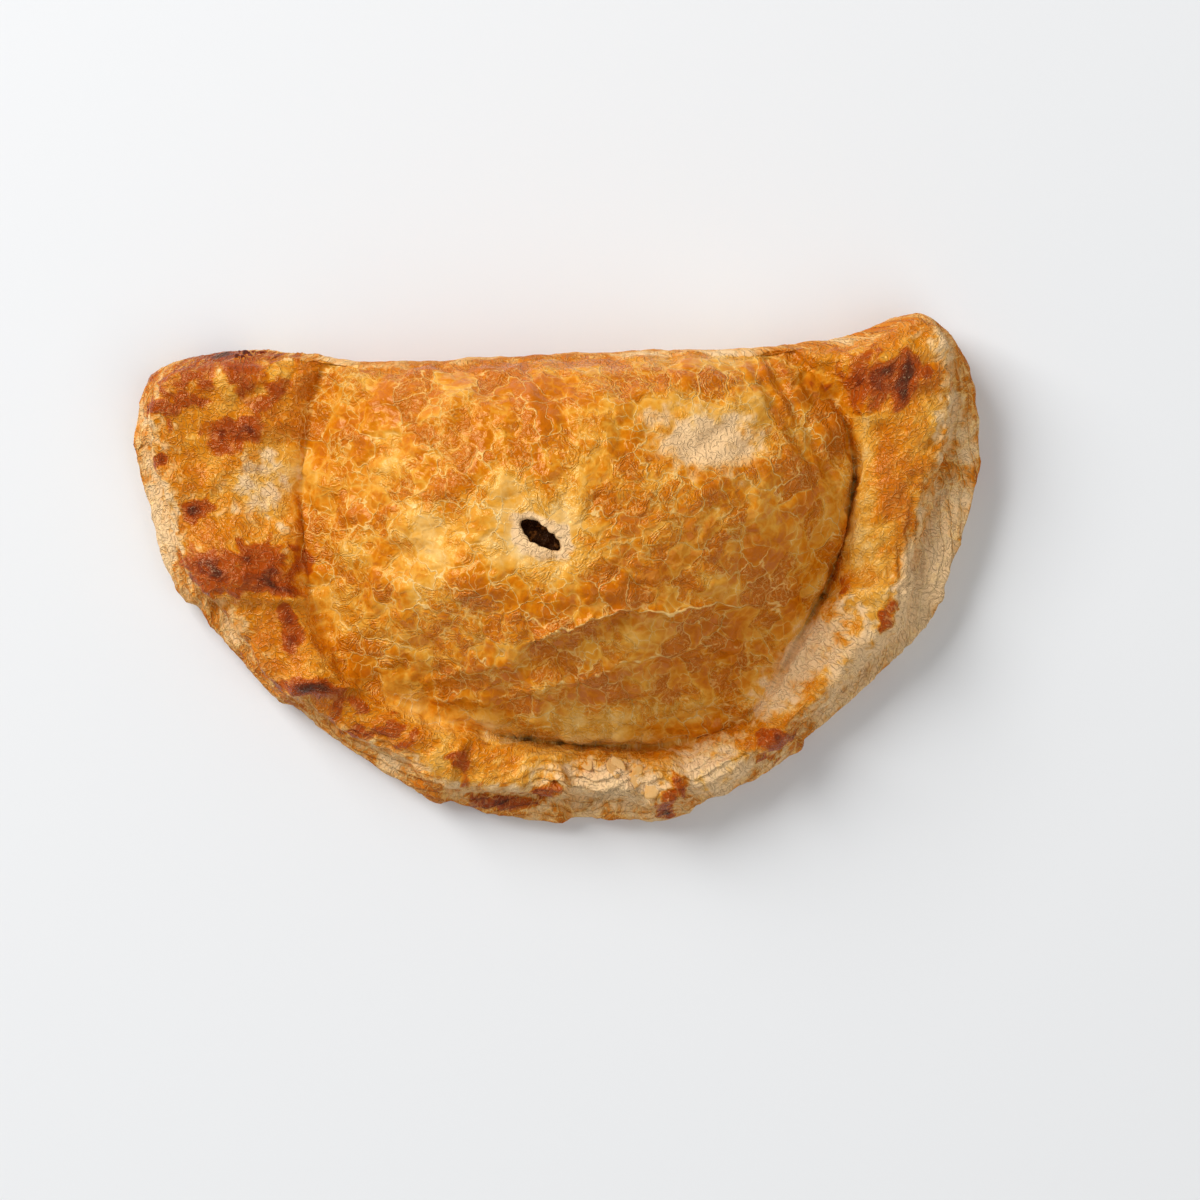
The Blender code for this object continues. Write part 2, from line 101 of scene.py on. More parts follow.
BASE_INSET = ((28, 5.5), (350, 3), (270, 2.5), (190, 3), (150, 5), (141, 6), (44, 6))

# How the sections are rounded. The roll's shoulder is this share of its edge's drop below its crest,
# a roll narrower than this swells less, and the side is widest at this share of its way down.
DOME_FULLNESS = 2.3
FOLD_FULLNESS = 2.2
FOLD_REACH = 0.72
ROLL_SHOULDER = 0.6
NARROW_ROLL = 12.0
WIDEST_SHARE = 0.68

# The narrow groove along the crease, deep on the right and gone on the lower left, and a line of painted
# shade in it
CREASE_DEPTH = (
    (30, 0), (22, 1.6), (8, 2.8), (352, 2.4), (338, 1.6), (322, 1.2), (305, 1), (290, 1.6), (262, 2.4),
    (248, 1.4), (236, 0.3), (205, 0), (180, 0.6), (160, 0.6), (150, 0),
)
CREASE_WIDTH = 0.9
CREASE_SHADE_WIDTH = 0.35
CREASE_SHADE = 0.22
DARKEST_CREASE = 2.4

# Crimps: outer and inner end of the line where each overlap ends, and the height of its step
CRIMPS = (
    ((-92, -7.5), (-60, -8), 3),
    ((-67, -31.5), (-49.5, -28.5), 3.2),
    ((-27.5, -56), (-21.5, -40), 2.6),
    ((2, -61), (1, -44), 2.4),
    ((32, -60), (27, -44), 2.8),
    ((58, -43), (48, -35), 2.8),
    ((86, -6), (64, -4), 3),
)
CRIMP_RISE = 24.0
CRIMP_FALL = 2.2
CRIMP_OVERHANG = 0.5
CRIMP_MARGIN = 4.0
CRIMP_REACH = 2.2

# Folds of the dough over the filling, each with its drop on the right of its direction
DOME_FOLDS = (
    (((-30, -27.5), (-12, -23), (-2, -17)), 2),
    (((-2, -17), (10, -12.5), (30, -10.5), (48, -9.5)), 4.2),
    (((-38, -31), (-20, -32), (0, -28), (22, -22), (44, -18.5)), 2.4),
)
FOLD_RUN = 1.8
FOLD_CREST = 0.35
FOLD_FADE = 9.0
FOLD_SPREAD = 22.0
FOLD_WOBBLES = ((0.31, 0.55), (0.83, 0.35), (1.9, 0.2))
FOLD_EDGE_WIDTH = 0.45
FOLD_EDGE_SHIFT = 0.8
FULL_EDGE_DROP = 4.0

# Pleats and soft valleys of the dome, each with its depth and half-width
PLEATS = (
    (((46, 47.5), (51, 38), (57, 29), (61, 19)), 1.7, 1.3),
    (((50, 48.5), (55.5, 37), (62, 26), (66, 17)), 2.3, 1.3),
    (((57, 46), (62.5, 35), (67, 24)), 1.9, 1.2),
    (((-38, 1), (-30, 6), (-23, 12)), 1.2, 4),
    (((-40, -14), (-31, -21), (-26, -29)), 1.3, 5),
    (((-45, 25), (-37, 26)), 1.3, 7),
    (((24, 31), (42, 25)), 1.6, 8),
)

# Lifted flakes, blisters and pits of the rim: centre, radius and height
FLAKES = (
    ((14, -52.5), 5, 1.5),
    ((22, -47), 4, 1.4),
    ((-81, 47), 7, 1.3),
    ((-92, 41), 6, 1.1),
    ((-78, -1), 9, 1.8),
    ((-58, -30), 6, 1.4),
    ((-12, -55), 7, 1.2),
    ((52, -41.5), 4.5, 1.5),
    ((26, -57), 5, 1.2),
    ((77, 44), 9, 1.2),
    ((66, -5.5), 4.5, 1.2),
    ((-84, 28), 6, -1.2),
    ((-72, 14), 8, -1.6),
    ((-89, 20), 4, 1),
    ((60, -22), 6, -1.2),
)

# Steam vent: a short slanting cut through the crust, in a dip that leans to its lower side. Under it is
# a pocket with the filling in it.
VENT_CENTRE = (-3.3, 6.9)
VENT_LENGTH = 11.2
VENT_WIDTH = 4.8
VENT_ANGLE = math.radians(-36)
VENT_DIP = 1.5
VENT_DIP_WIDTH = 4.6
VENT_DIP_CENTRE = (-4.1, 5.6)
VENT_DIP_REACH = 0.35
VENT_RAGGEDNESS = 0.12
LIP_DROP = 0.3
LIP_MARGIN = 1.06
CRUST_THICKNESS = 4.5
POCKET_SIZE = (17, 11, 8)
POCKET_DROP = 2.8
POCKET_TOP = math.radians(49)
POCKET_BOTTOM = math.radians(-81)
VENT_NECK = 0.5
FILLING_GAP = 0.35
FILLING_FLATNESS = 0.55
FILLING_LUMPS = 0.5
FILLING_WAVES = 6
FILLING_WAVE_RATE = 1.4
FILLING_RINGS = 40
FILLING_SPOKES = 72

# Marks of the bake, each as x, y, half-length, half-width, angle in degrees and strength, and how they
# fall off from their middle
MARK_MIDDLE = 1.25
MARK_FALL = 0.75
BURNT = (
    (-78, 45.5, 17, 6.5, 0, 0.66), (-89, 39, 9, 6.5, 30, 0.62), (-69, 41, 9, 5.5, -30, 0.6),
    (-80, 50, 8, 1.6, 0, 0.9), (-76.5, 31, 6.5, 4.5, 10, 0.85), (-92.5, 25, 2, 1.6, 30, 0.75),
    (-85.5, 12.5, 5, 3, 35, 0.9), (-70, 0, 11, 6, 5, 0.85), (-81, -1.5, 8, 4.5, -35, 1),
    (-66, -4, 9, 4, -10, 0.75), (-63, -15, 3.4, 6.5, 10, 0.85), (-57.5, -28.5, 7.5, 2.6, -3, 1.15),
    (-48, -35, 10, 5, -35, 0.6), (-38, -39, 6, 5, -35, 0.45), (-23.5, -45.5, 2.8, 2.8, 0, 0.9),
    (-20, -52, 5, 4, 0, 0.35), (-12, -56, 7.5, 1.8, 3, 1), (-3, -53, 5, 2.4, 25, 0.6),
    (27, -52.5, 4, 4.5, 0, 0.62), (26, -58, 2.4, 1.8, 0, 0.9), (51.5, -41.5, 5.4, 3.8, 30, 0.7),
    (77, -11.5, 4, 6, 0, 0.4), (66.5, -4, 2.6, 2.2, 0, 0.5), (76, 44.5, 11, 7, 5, 0.84),
    (81.5, 43, 3.4, 6.5, -15, 1.15), (70, 51, 6, 2.5, 15, 0.6), (58, 46, 8, 5, -20, 0.35),
)
ORANGE = (
    (-5, 36, 36, 9, 0, 0.85), (-40, 28, 12, 16, 0, 0.5), (8, 24, 16, 12, -20, 0.7),
    (8, -8, 22, 12, 10, 0.8), (-32, -18, 14, 18, 30, 0.5), (52, 12, 18, 26, 0, 0.7),
    (30, -25, 34, 14, 5, 0.75), (-10, -30, 26, 8, -10, 0.6), (57, 45, 12, 8, -30, 0.8),
    (79, 24, 8, 24, -4, 0.75), (-88, 32, 8, 14, 0, 0.4), (-57, 20, 4, 26, 0, 0.7),
    (-12, 48, 36, 4, 1, 0.6), (60, 49, 14, 4, 8, 0.5), (-60, -25, 22, 17, -40, 0.45),
    (-25, -48, 22, 9, -20, 0.45),
)
PALE = (
    (-41, 25, 7, 6, 0, 0.3), (-4, 7, 11, 9, -20, 1.4), (-30, -2, 7, 15, -30, 0.7),
    (68, 8, 5, 10, 10, 0.6), (0, -41, 28, 3, 0, 0.7), (-52, -12, 3, 14, 25, 0.5),
    (-30, -36, 10, 3.5, -32, 0.6), (-93, 15, 4, 22, 12, 0.5), (10, -36, 26, 3, 2, 0.85),
    (-22, -48, 15, 6, -18, 0.6), (69.5, -21, 6, 13, -38, 1.25), (87.5, -1, 5.5, 19, -20, 1.3),
    (74, 2, 7, 9, -10, 0.8), (73, 22, 2, 17, 3, 0.9), (36, 49, 12, 3, 0, 0.6), (92, 38, 5, 12, 0, 0.3),
    (-97, 24, 2.5, 12, 0, 0.6),
)
BARE = (
    (36, 28, 15, 8.5, -8, 1), (24, 33, 8, 5, 20, 0.7), (-70, 19, 9, 12, -15, 0.6),
    (-64, 8, 4, 7, 0, 0.5), (58, -22, 5.5, 18, -40, 1), (87.5, -1, 6, 19, -20, 1),
    (82, -12, 5, 14, -40, 0.8), (69.5, -21, 4.5, 10, -38, 0.8), (12, -51, 17, 6, 0, 0.9),
    (35, -46, 12, 6, 25, 0.8), (-5.2, 4.6, 4.6, 2.2, -36, 1),
)

# Where the dough has come apart in flaky layers
FLAKY = (
    (9, -51, 17, 6.5, 0, 1), (36, -49, 11, 6, 30, 0.8), (88, 0, 7, 22, -14, 1), (94, 30, 4, 20, 0, 0.7),
    (-95, 18, 4, 22, 12, 0.9), (-40, -47, 18, 4, -35, 0.8),
)

# The bake's colours, from raw dough to charred
BAKE_COLOURS = (
    (0.00, (0.88, 0.62, 0.30)),
    (0.15, (0.84, 0.49, 0.14)),
    (0.30, (0.76, 0.34, 0.035)),
    (0.45, (0.64, 0.190, 0.002)),
    (0.58, (0.51, 0.115, 0.001)),
    (0.70, (0.37, 0.054, 0.002)),
    (0.82, (0.20, 0.024, 0.003)),
    (0.92, (0.10, 0.018, 0.007)),
    (1.00, (0.040, 0.010, 0.005)),
)

# Colours of bare dough, cracks, loose flakes, the painted shade in the vent and the crease, and the
# filling's darker and lighter meat
DOUGH_COLOUR = (0.86, 0.57, 0.31, 1)
CRACK_COLOUR = (0.94, 0.63, 0.25, 1)
FLAKE_COLOUR = (0.66, 0.38, 0.14, 1)
PAINTED_SHADE_COLOUR = (0.014, 0.004, 0.001, 1)
DARK_MEAT_COLOUR = (0.030, 0.007, 0.001, 1)
LIGHT_MEAT_COLOUR = (0.30, 0.10, 0.02, 1)

# How far each thing darkens the bake, on its scale from raw to charred. The seam's share is painted shade
# under the step of each layer of dough.
TONES = {
    "middle": 0.45, "orange": 0.15, "pale": -0.26, "cloud": 0.78, "mottle": 0.15, "rim mottle": 0.13,
    "speckle": 0.07, "cell": 0.21, "fine cell": 0.09, "any cell": -0.15, "halo": -0.08, "bare": -0.06,
    "darkest glaze": 0.555, "brown": 0.69, "char": 0.24, "layer": 0.12, "scale": 0.14, "lip": 0.06,
    "shaded_seam": 0.12, "line": -0.20,
}

# Heights in millimetres of the relief of the mesh, and of the finer bumps of the material
RELIEF = {
    "lumps": 2.0, "crumple": 4.5, "pillows": 0.36, "facets": 0.22, "scales": 0.35, "knobs": 2.0,
    "curls": 0.6, "slabs": 0.35, "sheets": 0.35, "terraces": 1.0, "middle": -0.9,
}
BUMPS = {
    "line": 0.14, "facet": 0.16, "wrinkle": 0.065, "grit": 0.10, "bare grit": 0.12, "rim grit": 0.12,
    "curl": 0.16, "layer": 0.3, "lip": 0.12, "scale": 0.25, "shaded_seam": -0.25,
}

# How the surfaces shine
DRY_ROUGHNESS = 0.72
GLAZE_ROUGHNESS = 0.18
GLAZE_SPECULAR = 0.34
GLAZE_TINT = (1.0, 0.78, 0.44, 1)
FLAKE_SPECULAR = 0.25
MEAT_SPECULAR = 0.2
MEAT_TINT = (1.0, 0.6, 0.35, 1)

# Loose flakes and crumbs: centre and half-lengths of the oval that they lie in, number, size, and tone
# from raw to charred
FLAKE_CLUSTERS = (
    ((14.3, -46.5), (1.2, 1), 2, 6.5, 0.18),
    ((6.5, -46.5), (0.8, 0.8), 1, 6, 0.18),
    ((20, -51), (4, 1.5), 2, 5.5, 0.22),
    ((-26.4, 48.6), (0.8, 0.6), 2, 4.5, 0.34),
    ((-73, 50), (4.5, 0.8), 8, 2, 0.82),
)
FLAKE_SPOKES = 18
FLAKE_RINGS = 4
FLAKE_NARROWNESS = 0.6
FLAKE_WAVES = ((2, 0.16), (3, 0.10), (5, 0.05))
FLAKE_SIZES = (0.6, 1.3)
FLAKE_TURN = 0.8
FLAKE_LIFT = 0.45
FLAKE_RIPPLE = 0.12
FLAKE_THICKNESS = 0.3
FLAKE_SINK = -0.1
FLAKE_EDGE_TONE = 0.10
FLAKE_TONE_SPREAD = 0.06
FLAKE_LEVEL = 0.6
DROP_HEIGHT = 100.0

# Sizes of the surface's own pattern, from clouds of colour to the layers of dough
CLOUD_SIZE = 15.0
LUMP_SIZE = 11.0
LOBE_SIZE = 5.5
MOTTLE_SIZE = 3.4
CELL_SIZE = 6.8
FINE_CELL_SIZE = 3.0
CRACK_WIDTH = 0.24
CURL_SIZE = 1.7
WRINKLE_SIZE = 0.9
SPECKLE_SIZE = 0.9
LAYER_LENGTH = 9.0
LAYER_THICKNESS = 0.9
TERRACE = 2.7

# Share of the layers that the fold edge hides, because the dough isn't cut there
FOLD_SEALED = 0.85

# Share of the glaze that the bare marks lack, and the heights over which the relief starts at the base
BARENESS = 0.9
SMOOTH_BASE = 0.4
RELIEF_RISE = 2.5

# Mesh density of the crust, whose rings crowd towards the crease
SPOKES = 528
PIT_RINGS = 16
DOME_RINGS = 82
ROLL_RINGS = 50
SIDE_RINGS = 36
RING_CROWDING = 1.2
CURVE_SAMPLES = 8 * SPOKES

# Brightness of the room: its pale walls, and its dark ceiling that the glaze mirrors
WALLS = 0.45
CEILING = 0.16

# Its soft lights, each with its place and size in metres and its power in watts, and its floor
LIGHTS = (
    ("key", (-1.28, 1.08, 1.27), 1.3, 49.5),
    ("fill", (0.7, -0.5, 1.4), 1.4, 8.5),
)
FLOOR_REACH = 2
FLOOR_COLOUR = (0.80, 0.81, 0.82, 1)
FLOOR_ROUGHNESS = 0.9
FLOOR_SPECULAR = 0.1

# The photograph's frame: its width and its middle, at this height over the table, and the lens
FRAME_WIDTH = 284.0
FRAME_MIDDLE = (10.3, -7.9)
LENS = 135.0
SENSOR = 36.0
PLANE_HEIGHT = 10.0


def catmull_rom(a, b, c, d):
    """Points along the span from b to c of a smooth curve through a, b, c and d."""
    t = np.linspace(0, 1, 24, endpoint=False)[:, None]
    return 0.5 * (2 * b + (c - a) * t + (2 * a - 5 * b + 4 * c - d) * t**2 + (3 * b - a - 3 * c + d) * t**3)


def evenly(curve, samples):
    """The polyline resampled at equal distances along it."""
    reach = np.concatenate([[0], np.cumsum(np.linalg.norm(np.diff(curve, axis=0), axis=1))])
    at = np.linspace(0, reach[-1], samples)
    return np.stack([np.interp(at, reach, curve[:, k]) for k in (0, 1)], axis=1)


def closed_curve(points, samples):
    """A smooth closed curve through the points, as evenly spaced samples."""
    p = np.array(points, float)
    n = len(p)
    curve = np.concatenate([catmull_rom(p[i - 1], p[i], p[(i + 1) % n], p[(i + 2) % n]) for i in range(n)])
    return evenly(np.vstack([curve, curve[:1]]), samples + 1)[:-1]


def open_curve(points, samples):
    """A smooth open curve through the points, as evenly spaced samples."""
    p = np.array(points, float)
    p = np.vstack([2 * p[0] - p[1], p, 2 * p[-1] - p[-2]])
    curve = np.concatenate([catmull_rom(*p[i : i + 4]) for i in range(len(p) - 3)])
    return evenly(np.vstack([curve, p[-2:-1]]), samples)


def smooth(x):
    """Eases from 0 to 1 as x goes from 0 to 1."""
    x = np.clip(x, 0, 1)
    return x * x * (3 - 2 * x)


def bearing_of(points):
    """Bearings of the points from the dome's centre, in degrees from 0 to 360."""
    d = np.asarray(points, float) - DOME_CENTRE
    return np.degrees(np.arctan2(d[..., 1], d[..., 0])) % 360


def read(table, bearing):
    """Reads a (bearing, value) table at the bearings, easing between its entries."""
    rows = sorted((b % 360, v) for b, v in table)
    b = np.array([rows[-1][0] - 360, *[r[0] for r in rows], rows[0][0] + 360])
    v = np.array([rows[-1][1], *[r[1] for r in rows], rows[0][1]], float)
    i = np.clip(np.searchsorted(b, bearing, side="right") - 1, 0, len(b) - 2)
    return v[i] + (v[i + 1] - v[i]) * smooth((bearing - b[i]) / (b[i + 1] - b[i]))


def near_curve(p, curve):
    """Signed distance of each point to an open curve, positive on the right of its direction,
    and how far the point lies past the curve's ends."""
    nearest = np.full(p.shape[:-1], np.inf)
    signed = np.zeros(p.shape[:-1])
    past = np.zeros(p.shape[:-1])
    for i, (a, b) in enumerate(zip(curve[:-1], curve[1:])):
        ab = b - a
        along = ((p - a) @ ab) / (ab @ ab)
        off = p - a - np.clip(along, 0, 1)[..., None] * ab
        d = np.linalg.norm(off, axis=-1)
        on_left = ab[0] * off[..., 1] - ab[1] * off[..., 0] > 0
        before_start = -along if i == 0 else 0 * along
        after_end = along - 1 if i == len(curve) - 2 else 0 * along
        nearer = d < nearest
        nearest = np.where(nearer, d, nearest)
        signed = np.where(nearer, np.where(on_left, -d, d), signed)
        past = np.where(nearer, np.maximum(before_start, after_end) * np.linalg.norm(ab), past)
    return signed, np.maximum(past, 0)


def crimp_step(p):
    """Height that the overlaps of the crimp add at each point of the rim."""
    height = np.zeros(p.shape[:-1])
    for outer, inner, step in CRIMPS:
        outer, inner = np.array(outer), np.array(inner)
        half = 0.5 * np.linalg.norm(inner - outer)
        across = (inner - outer) / (2 * half)
        forward = np.array([across[1], -across[0]])
        ahead = (p - outer) @ forward
        sideways = np.abs((p - outer) @ across - half)
        lift = np.where(ahead < 0, smooth(1 + ahead / CRIMP_RISE), 1 - smooth(ahead / CRIMP_FALL))
        height += step * lift * smooth(CRIMP_REACH - sideways / (half + CRIMP_MARGIN))
    return height


def flakes(p):
    """Height of the lifted flakes, blisters and pits of the rim at each point."""
    height = np.zeros(p.shape[:-1])
    for centre, radius, lift in FLAKES:
        height += lift * np.exp(-((np.linalg.norm(p - centre, axis=-1) / radius) ** 4))
    return height


def near_fold(p, points):
    """How far each point lies below a fold's ragged edge, and how much of the fold is left beside it."""
    below, past = near_curve(p, open_curve(points, 24))
    ragged = sum(reach * np.sin(turns * p[..., 0] + 9 * turns) for turns, reach in FOLD_WOBBLES)
    return below + ragged, 1 - smooth(past / FOLD_FADE)


def fold_edges(p):
    """How much of the pale edge of a fold shows at each point."""
    most = np.zeros(p.shape[:-1])
    for points, drop in DOME_FOLDS:
        below, fade = near_fold(p, points)
        edge = np.exp(-((below / FOLD_EDGE_WIDTH + FOLD_EDGE_SHIFT) ** 2))
        most = np.maximum(most, edge * fade * min(drop / FULL_EDGE_DROP, 1))
    return most


def dome_relief(p):
    """Height that the dome's folds, pleats, valleys and the dip round the vent add at each point."""
    z = np.zeros(p.shape[:-1])
    for points, drop in DOME_FOLDS:
        below, fade = near_fold(p, points)
        fallen = np.where(below > 0, 1 - np.exp(-below / FOLD_RUN), 0)
        fallen *= np.exp(-np.abs(below) / FOLD_SPREAD)
        crest = FOLD_CREST * np.exp(-((below / FOLD_RUN) ** 2))
        z += drop * (crest - fallen) * fade
    for points, depth, width in PLEATS:
        off, _ = near_curve(p, open_curve(points, 12))
        z -= depth * np.exp(-((off / width) ** 2))
    half = VENT_DIP_REACH * VENT_LENGTH * np.array([math.cos(VENT_ANGLE), math.sin(VENT_ANGLE)])
    off, _ = near_curve(p, np.array([VENT_DIP_CENTRE - half, VENT_DIP_CENTRE + half]))
    return z - VENT_DIP * np.exp(-((off / VENT_DIP_WIDTH) ** 2))


class Plan:
    """The pasty seen from above: its outline and the dome's foot on each spoke from the dome's centre."""

    def __init__(self, segments):
        outline = closed_curve(OUTLINE, CURVE_SAMPLES)
        tangent = np.roll(outline, -1, axis=0) - np.roll(outline, 1, axis=0)
        tangent /= np.linalg.norm(tangent, axis=1)[:, None]
        inward = np.stack([-tangent[:, 1], tangent[:, 0]], axis=1)
        outline = outline - inward * (CRIMP_OVERHANG * crimp_step(outline))[:, None]
        bearing = bearing_of(outline)
        on_fold = (bearing > FOLD_EDGE_BEARINGS[0]) & (bearing < FOLD_EDGE_BEARINGS[1])
        self.fold_edge = outline[on_fold][::16]
        self.middle = (outline.min(axis=0) + outline.max(axis=0)) / 2
        self.perimeter = np.linalg.norm(outline - np.roll(outline, 1, axis=0), axis=1).sum()
        pick = np.arange(segments) * CURVE_SAMPLES // segments
        self.outline, self.inward = outline[pick], inward[pick]
        self.bearing = bearing_of(self.outline)
        self.find_foot()
        self.widest = read(WIDEST_HEIGHT, self.bearing)
        self.foot_height = read(FOOT_HEIGHT, self.bearing)
        self.under = read(UNDERLAYER_WIDTH, self.bearing)
        self.roll_edge = self.outline + self.inward * self.under[:, None]
        self.crest = read(ROLL_HEIGHT, self.bearing)
        self.drop = read(ROLL_EDGE_DROP, self.bearing)
        self.shoulder = self.crest - ROLL_SHOULDER * self.drop

    def find_foot(self):
        """Finds where each spoke crosses the dome's foot, or a line just inside the fold edge."""
        foot = closed_curve(DOME_FOOT, 480)
        order = np.argsort(bearing_of(foot))
        self.foot_bearings = bearing_of(foot)[order]
        self.foot_reaches = np.linalg.norm(foot - DOME_CENTRE, axis=1)[order]
        spoke = self.outline - DOME_CENTRE
        length = np.linalg.norm(spoke, axis=1)
        foot_reach = self.reach(self.bearing)
        shown_reach = np.minimum(foot_reach, length - FOOT_INSET_ON_FOLD)
        self.foot = DOME_CENTRE + spoke * (shown_reach / length)[:, None]
        self.fold = smooth((foot_reach - shown_reach) / FOLD_BLEND)

    def metres(self, points):
        """The points in metres, measured from the middle of the base."""
        return (points - [*self.middle, 0]) * MM

    def reach(self, bearing):
        """Distance from the dome's centre to its foot at each bearing."""
        return np.interp(bearing, self.foot_bearings, self.foot_reaches, period=360)

    def dome_height(self, p):
        """Height of the dome over each point, before the fold edge rounds it off."""
        bearing = bearing_of(p)
        share = np.minimum(np.linalg.norm(p - DOME_CENTRE, axis=1) / self.reach(bearing), 1)
        foot = read(FOOT_HEIGHT, bearing)
        steepness = read(DOME_STEEPNESS, bearing)
        open_height = foot + (DOME_HEIGHT - foot) * (1 - share**DOME_FULLNESS) ** steepness
        return open_height + dome_relief(p) * (1 - share**12)

    def round_fold(self, p, z):
        """Brings a height down to the widest line of the fold edge, as a quarter of an oval."""
        off = np.abs(near_curve(p, self.fold_edge)[0])
        rise = np.maximum(z - self.widest, 0.1)
        t = np.clip(off / (FOLD_REACH * rise), 0, 1)
        rounded = self.widest + rise * np.sqrt(1 - (1 - t) ** FOLD_FULLNESS)
        return np.where(z > self.widest, rounded, z)

    def blend(self, rim, dome):
        """The rim's height where there is a rim, and the dome's where the fold edge has none."""
        return rim + (dome - rim) * self.fold

    def groove(self, p, width=CREASE_WIDTH):
        """Depth of the narrow groove along the crease at each point of a ring."""
        off = np.linalg.norm(p - self.foot, axis=1) / width
        return read(CREASE_DEPTH, self.bearing) * (1 - self.fold) * np.exp(-(off**2))


def vent_ring(plan, size):
    """The vent's ragged oval on each spoke, at a share of its size."""
    away = np.radians(plan.bearing) - VENT_ANGLE
    jagged = np.sin(5 * away + 1) * np.sin(8 * away) + 0.5 * np.sin(11 * away + 2) * np.sin(6 * away)
    ragged = 1 + VENT_RAGGEDNESS * jagged / max(size, 1) ** 4
    side = np.sign(np.sin(away)) * np.abs(np.sin(away)) ** 1.1
    local = 0.5 * size * np.stack([VENT_LENGTH * np.cos(away), VENT_WIDTH * ragged * side], axis=1)
    return vent_place(local, 0 * away)[:, :2]


def vent_place(local, height):
    """Points along and across the vent, turned and moved to where it is."""
    c, s = math.cos(VENT_ANGLE), math.sin(VENT_ANGLE)
    return np.column_stack([np.array(VENT_CENTRE) + local @ np.array([[c, s], [-s, c]]), height])


def vent_lip(plan):
    """Height of the vent's lip on each spoke."""
    return plan.dome_height(vent_ring(plan, 1.0)) - LIP_DROP


def pit_ring(plan, share):
    """The ring at this share of the way up from the floor of the pocket to the vent's lip."""
    lip = vent_lip(plan)
    if share > VENT_NECK:
        depth = CRUST_THICKNESS * (1 - share) / (1 - VENT_NECK)
        return np.column_stack([vent_ring(plan, 1.0), lip - depth])
    turn = share / VENT_NECK * (POCKET_TOP - POCKET_BOTTOM) + POCKET_BOTTOM
    away = np.radians(plan.bearing) - VENT_ANGLE
    oval = np.stack([POCKET_SIZE[0] * np.cos(away), POCKET_SIZE[1] * np.sin(away)], axis=1)
    local = 0.5 * math.cos(turn) * oval
    middle = lip.mean() - CRUST_THICKNESS - POCKET_DROP
    return vent_place(local, np.full(len(away), middle + 0.5 * POCKET_SIZE[2] * math.sin(turn)))


def dome_ring(plan, share):
    """The ring of points at this share of the way from the vent's lip to the dome's foot."""
    lip = vent_ring(plan, LIP_MARGIN)
    p = lip + (plan.foot - lip) * share
    return np.column_stack([p, plan.round_fold(p, plan.dome_height(p)) - plan.groove(p)])


def roll_ring(plan, share):
    """The ring at this share of the way over the rolled rim, from the dome's foot to the roll's edge."""
    p = plan.foot + (plan.roll_edge - plan.foot) * share
    chord = plan.foot_height + (plan.shoulder - plan.foot_height) * share
    across = share ** (math.log(0.5) / np.log(read(CREST_PLACE, plan.bearing)))
    swell = (4 * across * (1 - across)) ** read(ROLL_FULLNESS, plan.bearing)
    swell *= smooth(np.linalg.norm(plan.roll_edge - plan.foot, axis=1) / NARROW_ROLL)
    rim = chord + (plan.crest - 0.5 * (plan.foot_height + plan.shoulder)) * swell
    rim += crimp_step(p) * smooth(4 * share) * (1 - 0.4 * share)
    rim += flakes(p) * smooth(4 * share)
    return np.column_stack([p, plan.round_fold(p, plan.blend(rim, plan.dome_height(p))) - plan.groove(p)])


def side_ring(plan, share):
    """The ring at this share of the way down the side: the step below the roll, the under-layer,
    the widest line and the curve in to the base."""
    base = read(BASE_INSET, plan.bearing)
    step = 0.6 * (crimp_step(plan.roll_edge) + flakes(plan.roll_edge))
    shoulder = plan.shoulder + step
    ledge = np.maximum(shoulder - plan.drop, plan.widest + 1.2)
    slope = ledge - plan.widest
    stations = (
        (0.00, plan.under, shoulder),
        (0.12, plan.under - 0.35, 0.5 * (shoulder + ledge)),
        (0.24, plan.under - 0.5, ledge),
        (0.42, 0.45 * plan.under, plan.widest + 0.65 * slope),
        (0.56, 0.12 * plan.under, plan.widest + 0.3 * slope),
        (WIDEST_SHARE, 0 * base, plan.widest),
        (0.80, 0.12 * base, 0.60 * plan.widest),
        (0.90, 0.42 * base, 0.22 * plan.widest),
        (1.00, base, 0 * plan.widest),
    )
    inset, rim = between(stations, share)
    p = plan.outline + plan.inward * inset[:, None]
    if share < WIDEST_SHARE:
        rim = plan.round_fold(p, plan.blend(rim, plan.dome_height(p)))
    return np.column_stack([p, rim])


def between(stations, share):
    """Reads the stations' inset and height at a share between theirs."""
    at = np.array([s[0] for s in stations])
    i = min(int(np.searchsorted(at, share, side="right")) - 1, len(at) - 2)
    t = (share - at[i]) / (at[i + 1] - at[i])
    return [stations[i][k] + (stations[i + 1][k] - stations[i][k]) * t for k in (1, 2)]


def crust_rings(plan):
    """Every ring of the crust from the vent's floor to the base, with how much glaze each has, how much
    of its dough shows in layers, how far the relief may move it, how much painted shade darkens it
    down in the vent, and how much of its glaze has crackled."""
    rows = []
    for k in range(PIT_RINGS):
        share = k / PIT_RINGS
        # The vent's walls take painted shade, darkest at the pocket's floor
        rows.append((pit_ring(plan, share), 0.0, 0.0, 0.25, 1 - share, 0.0))
    for k in range(DOME_RINGS):
        share = 1 - (1 - k / DOME_RINGS) ** RING_CROWDING
        rows.append((dome_ring(plan, share), float(smooth(share * 12)), 0.0, 1.0, 0.0, 1.0))
    for k in range(ROLL_RINGS):
        share = (k / ROLL_RINGS) ** RING_CROWDING
        glaze, crackled = 0.85 - 0.5 * float(smooth(3 * share - 2)), 1 - 0.85 * float(smooth(6 * share))
        rows.append((roll_ring(plan, share), glaze, 0.2 * share, 1.0, 0.0, crackled))
    for k in range(SIDE_RINGS + 1):
        share = k / SIDE_RINGS
        layered = 0.4 + 0.6 * float(smooth(4 * share))
        relief = 1 - 0.6 * float(smooth(3 * share))
        rows.append((side_ring(plan, share), 0.3 * (1 - share), layered, relief, 0.0, 0.0))
    return rows


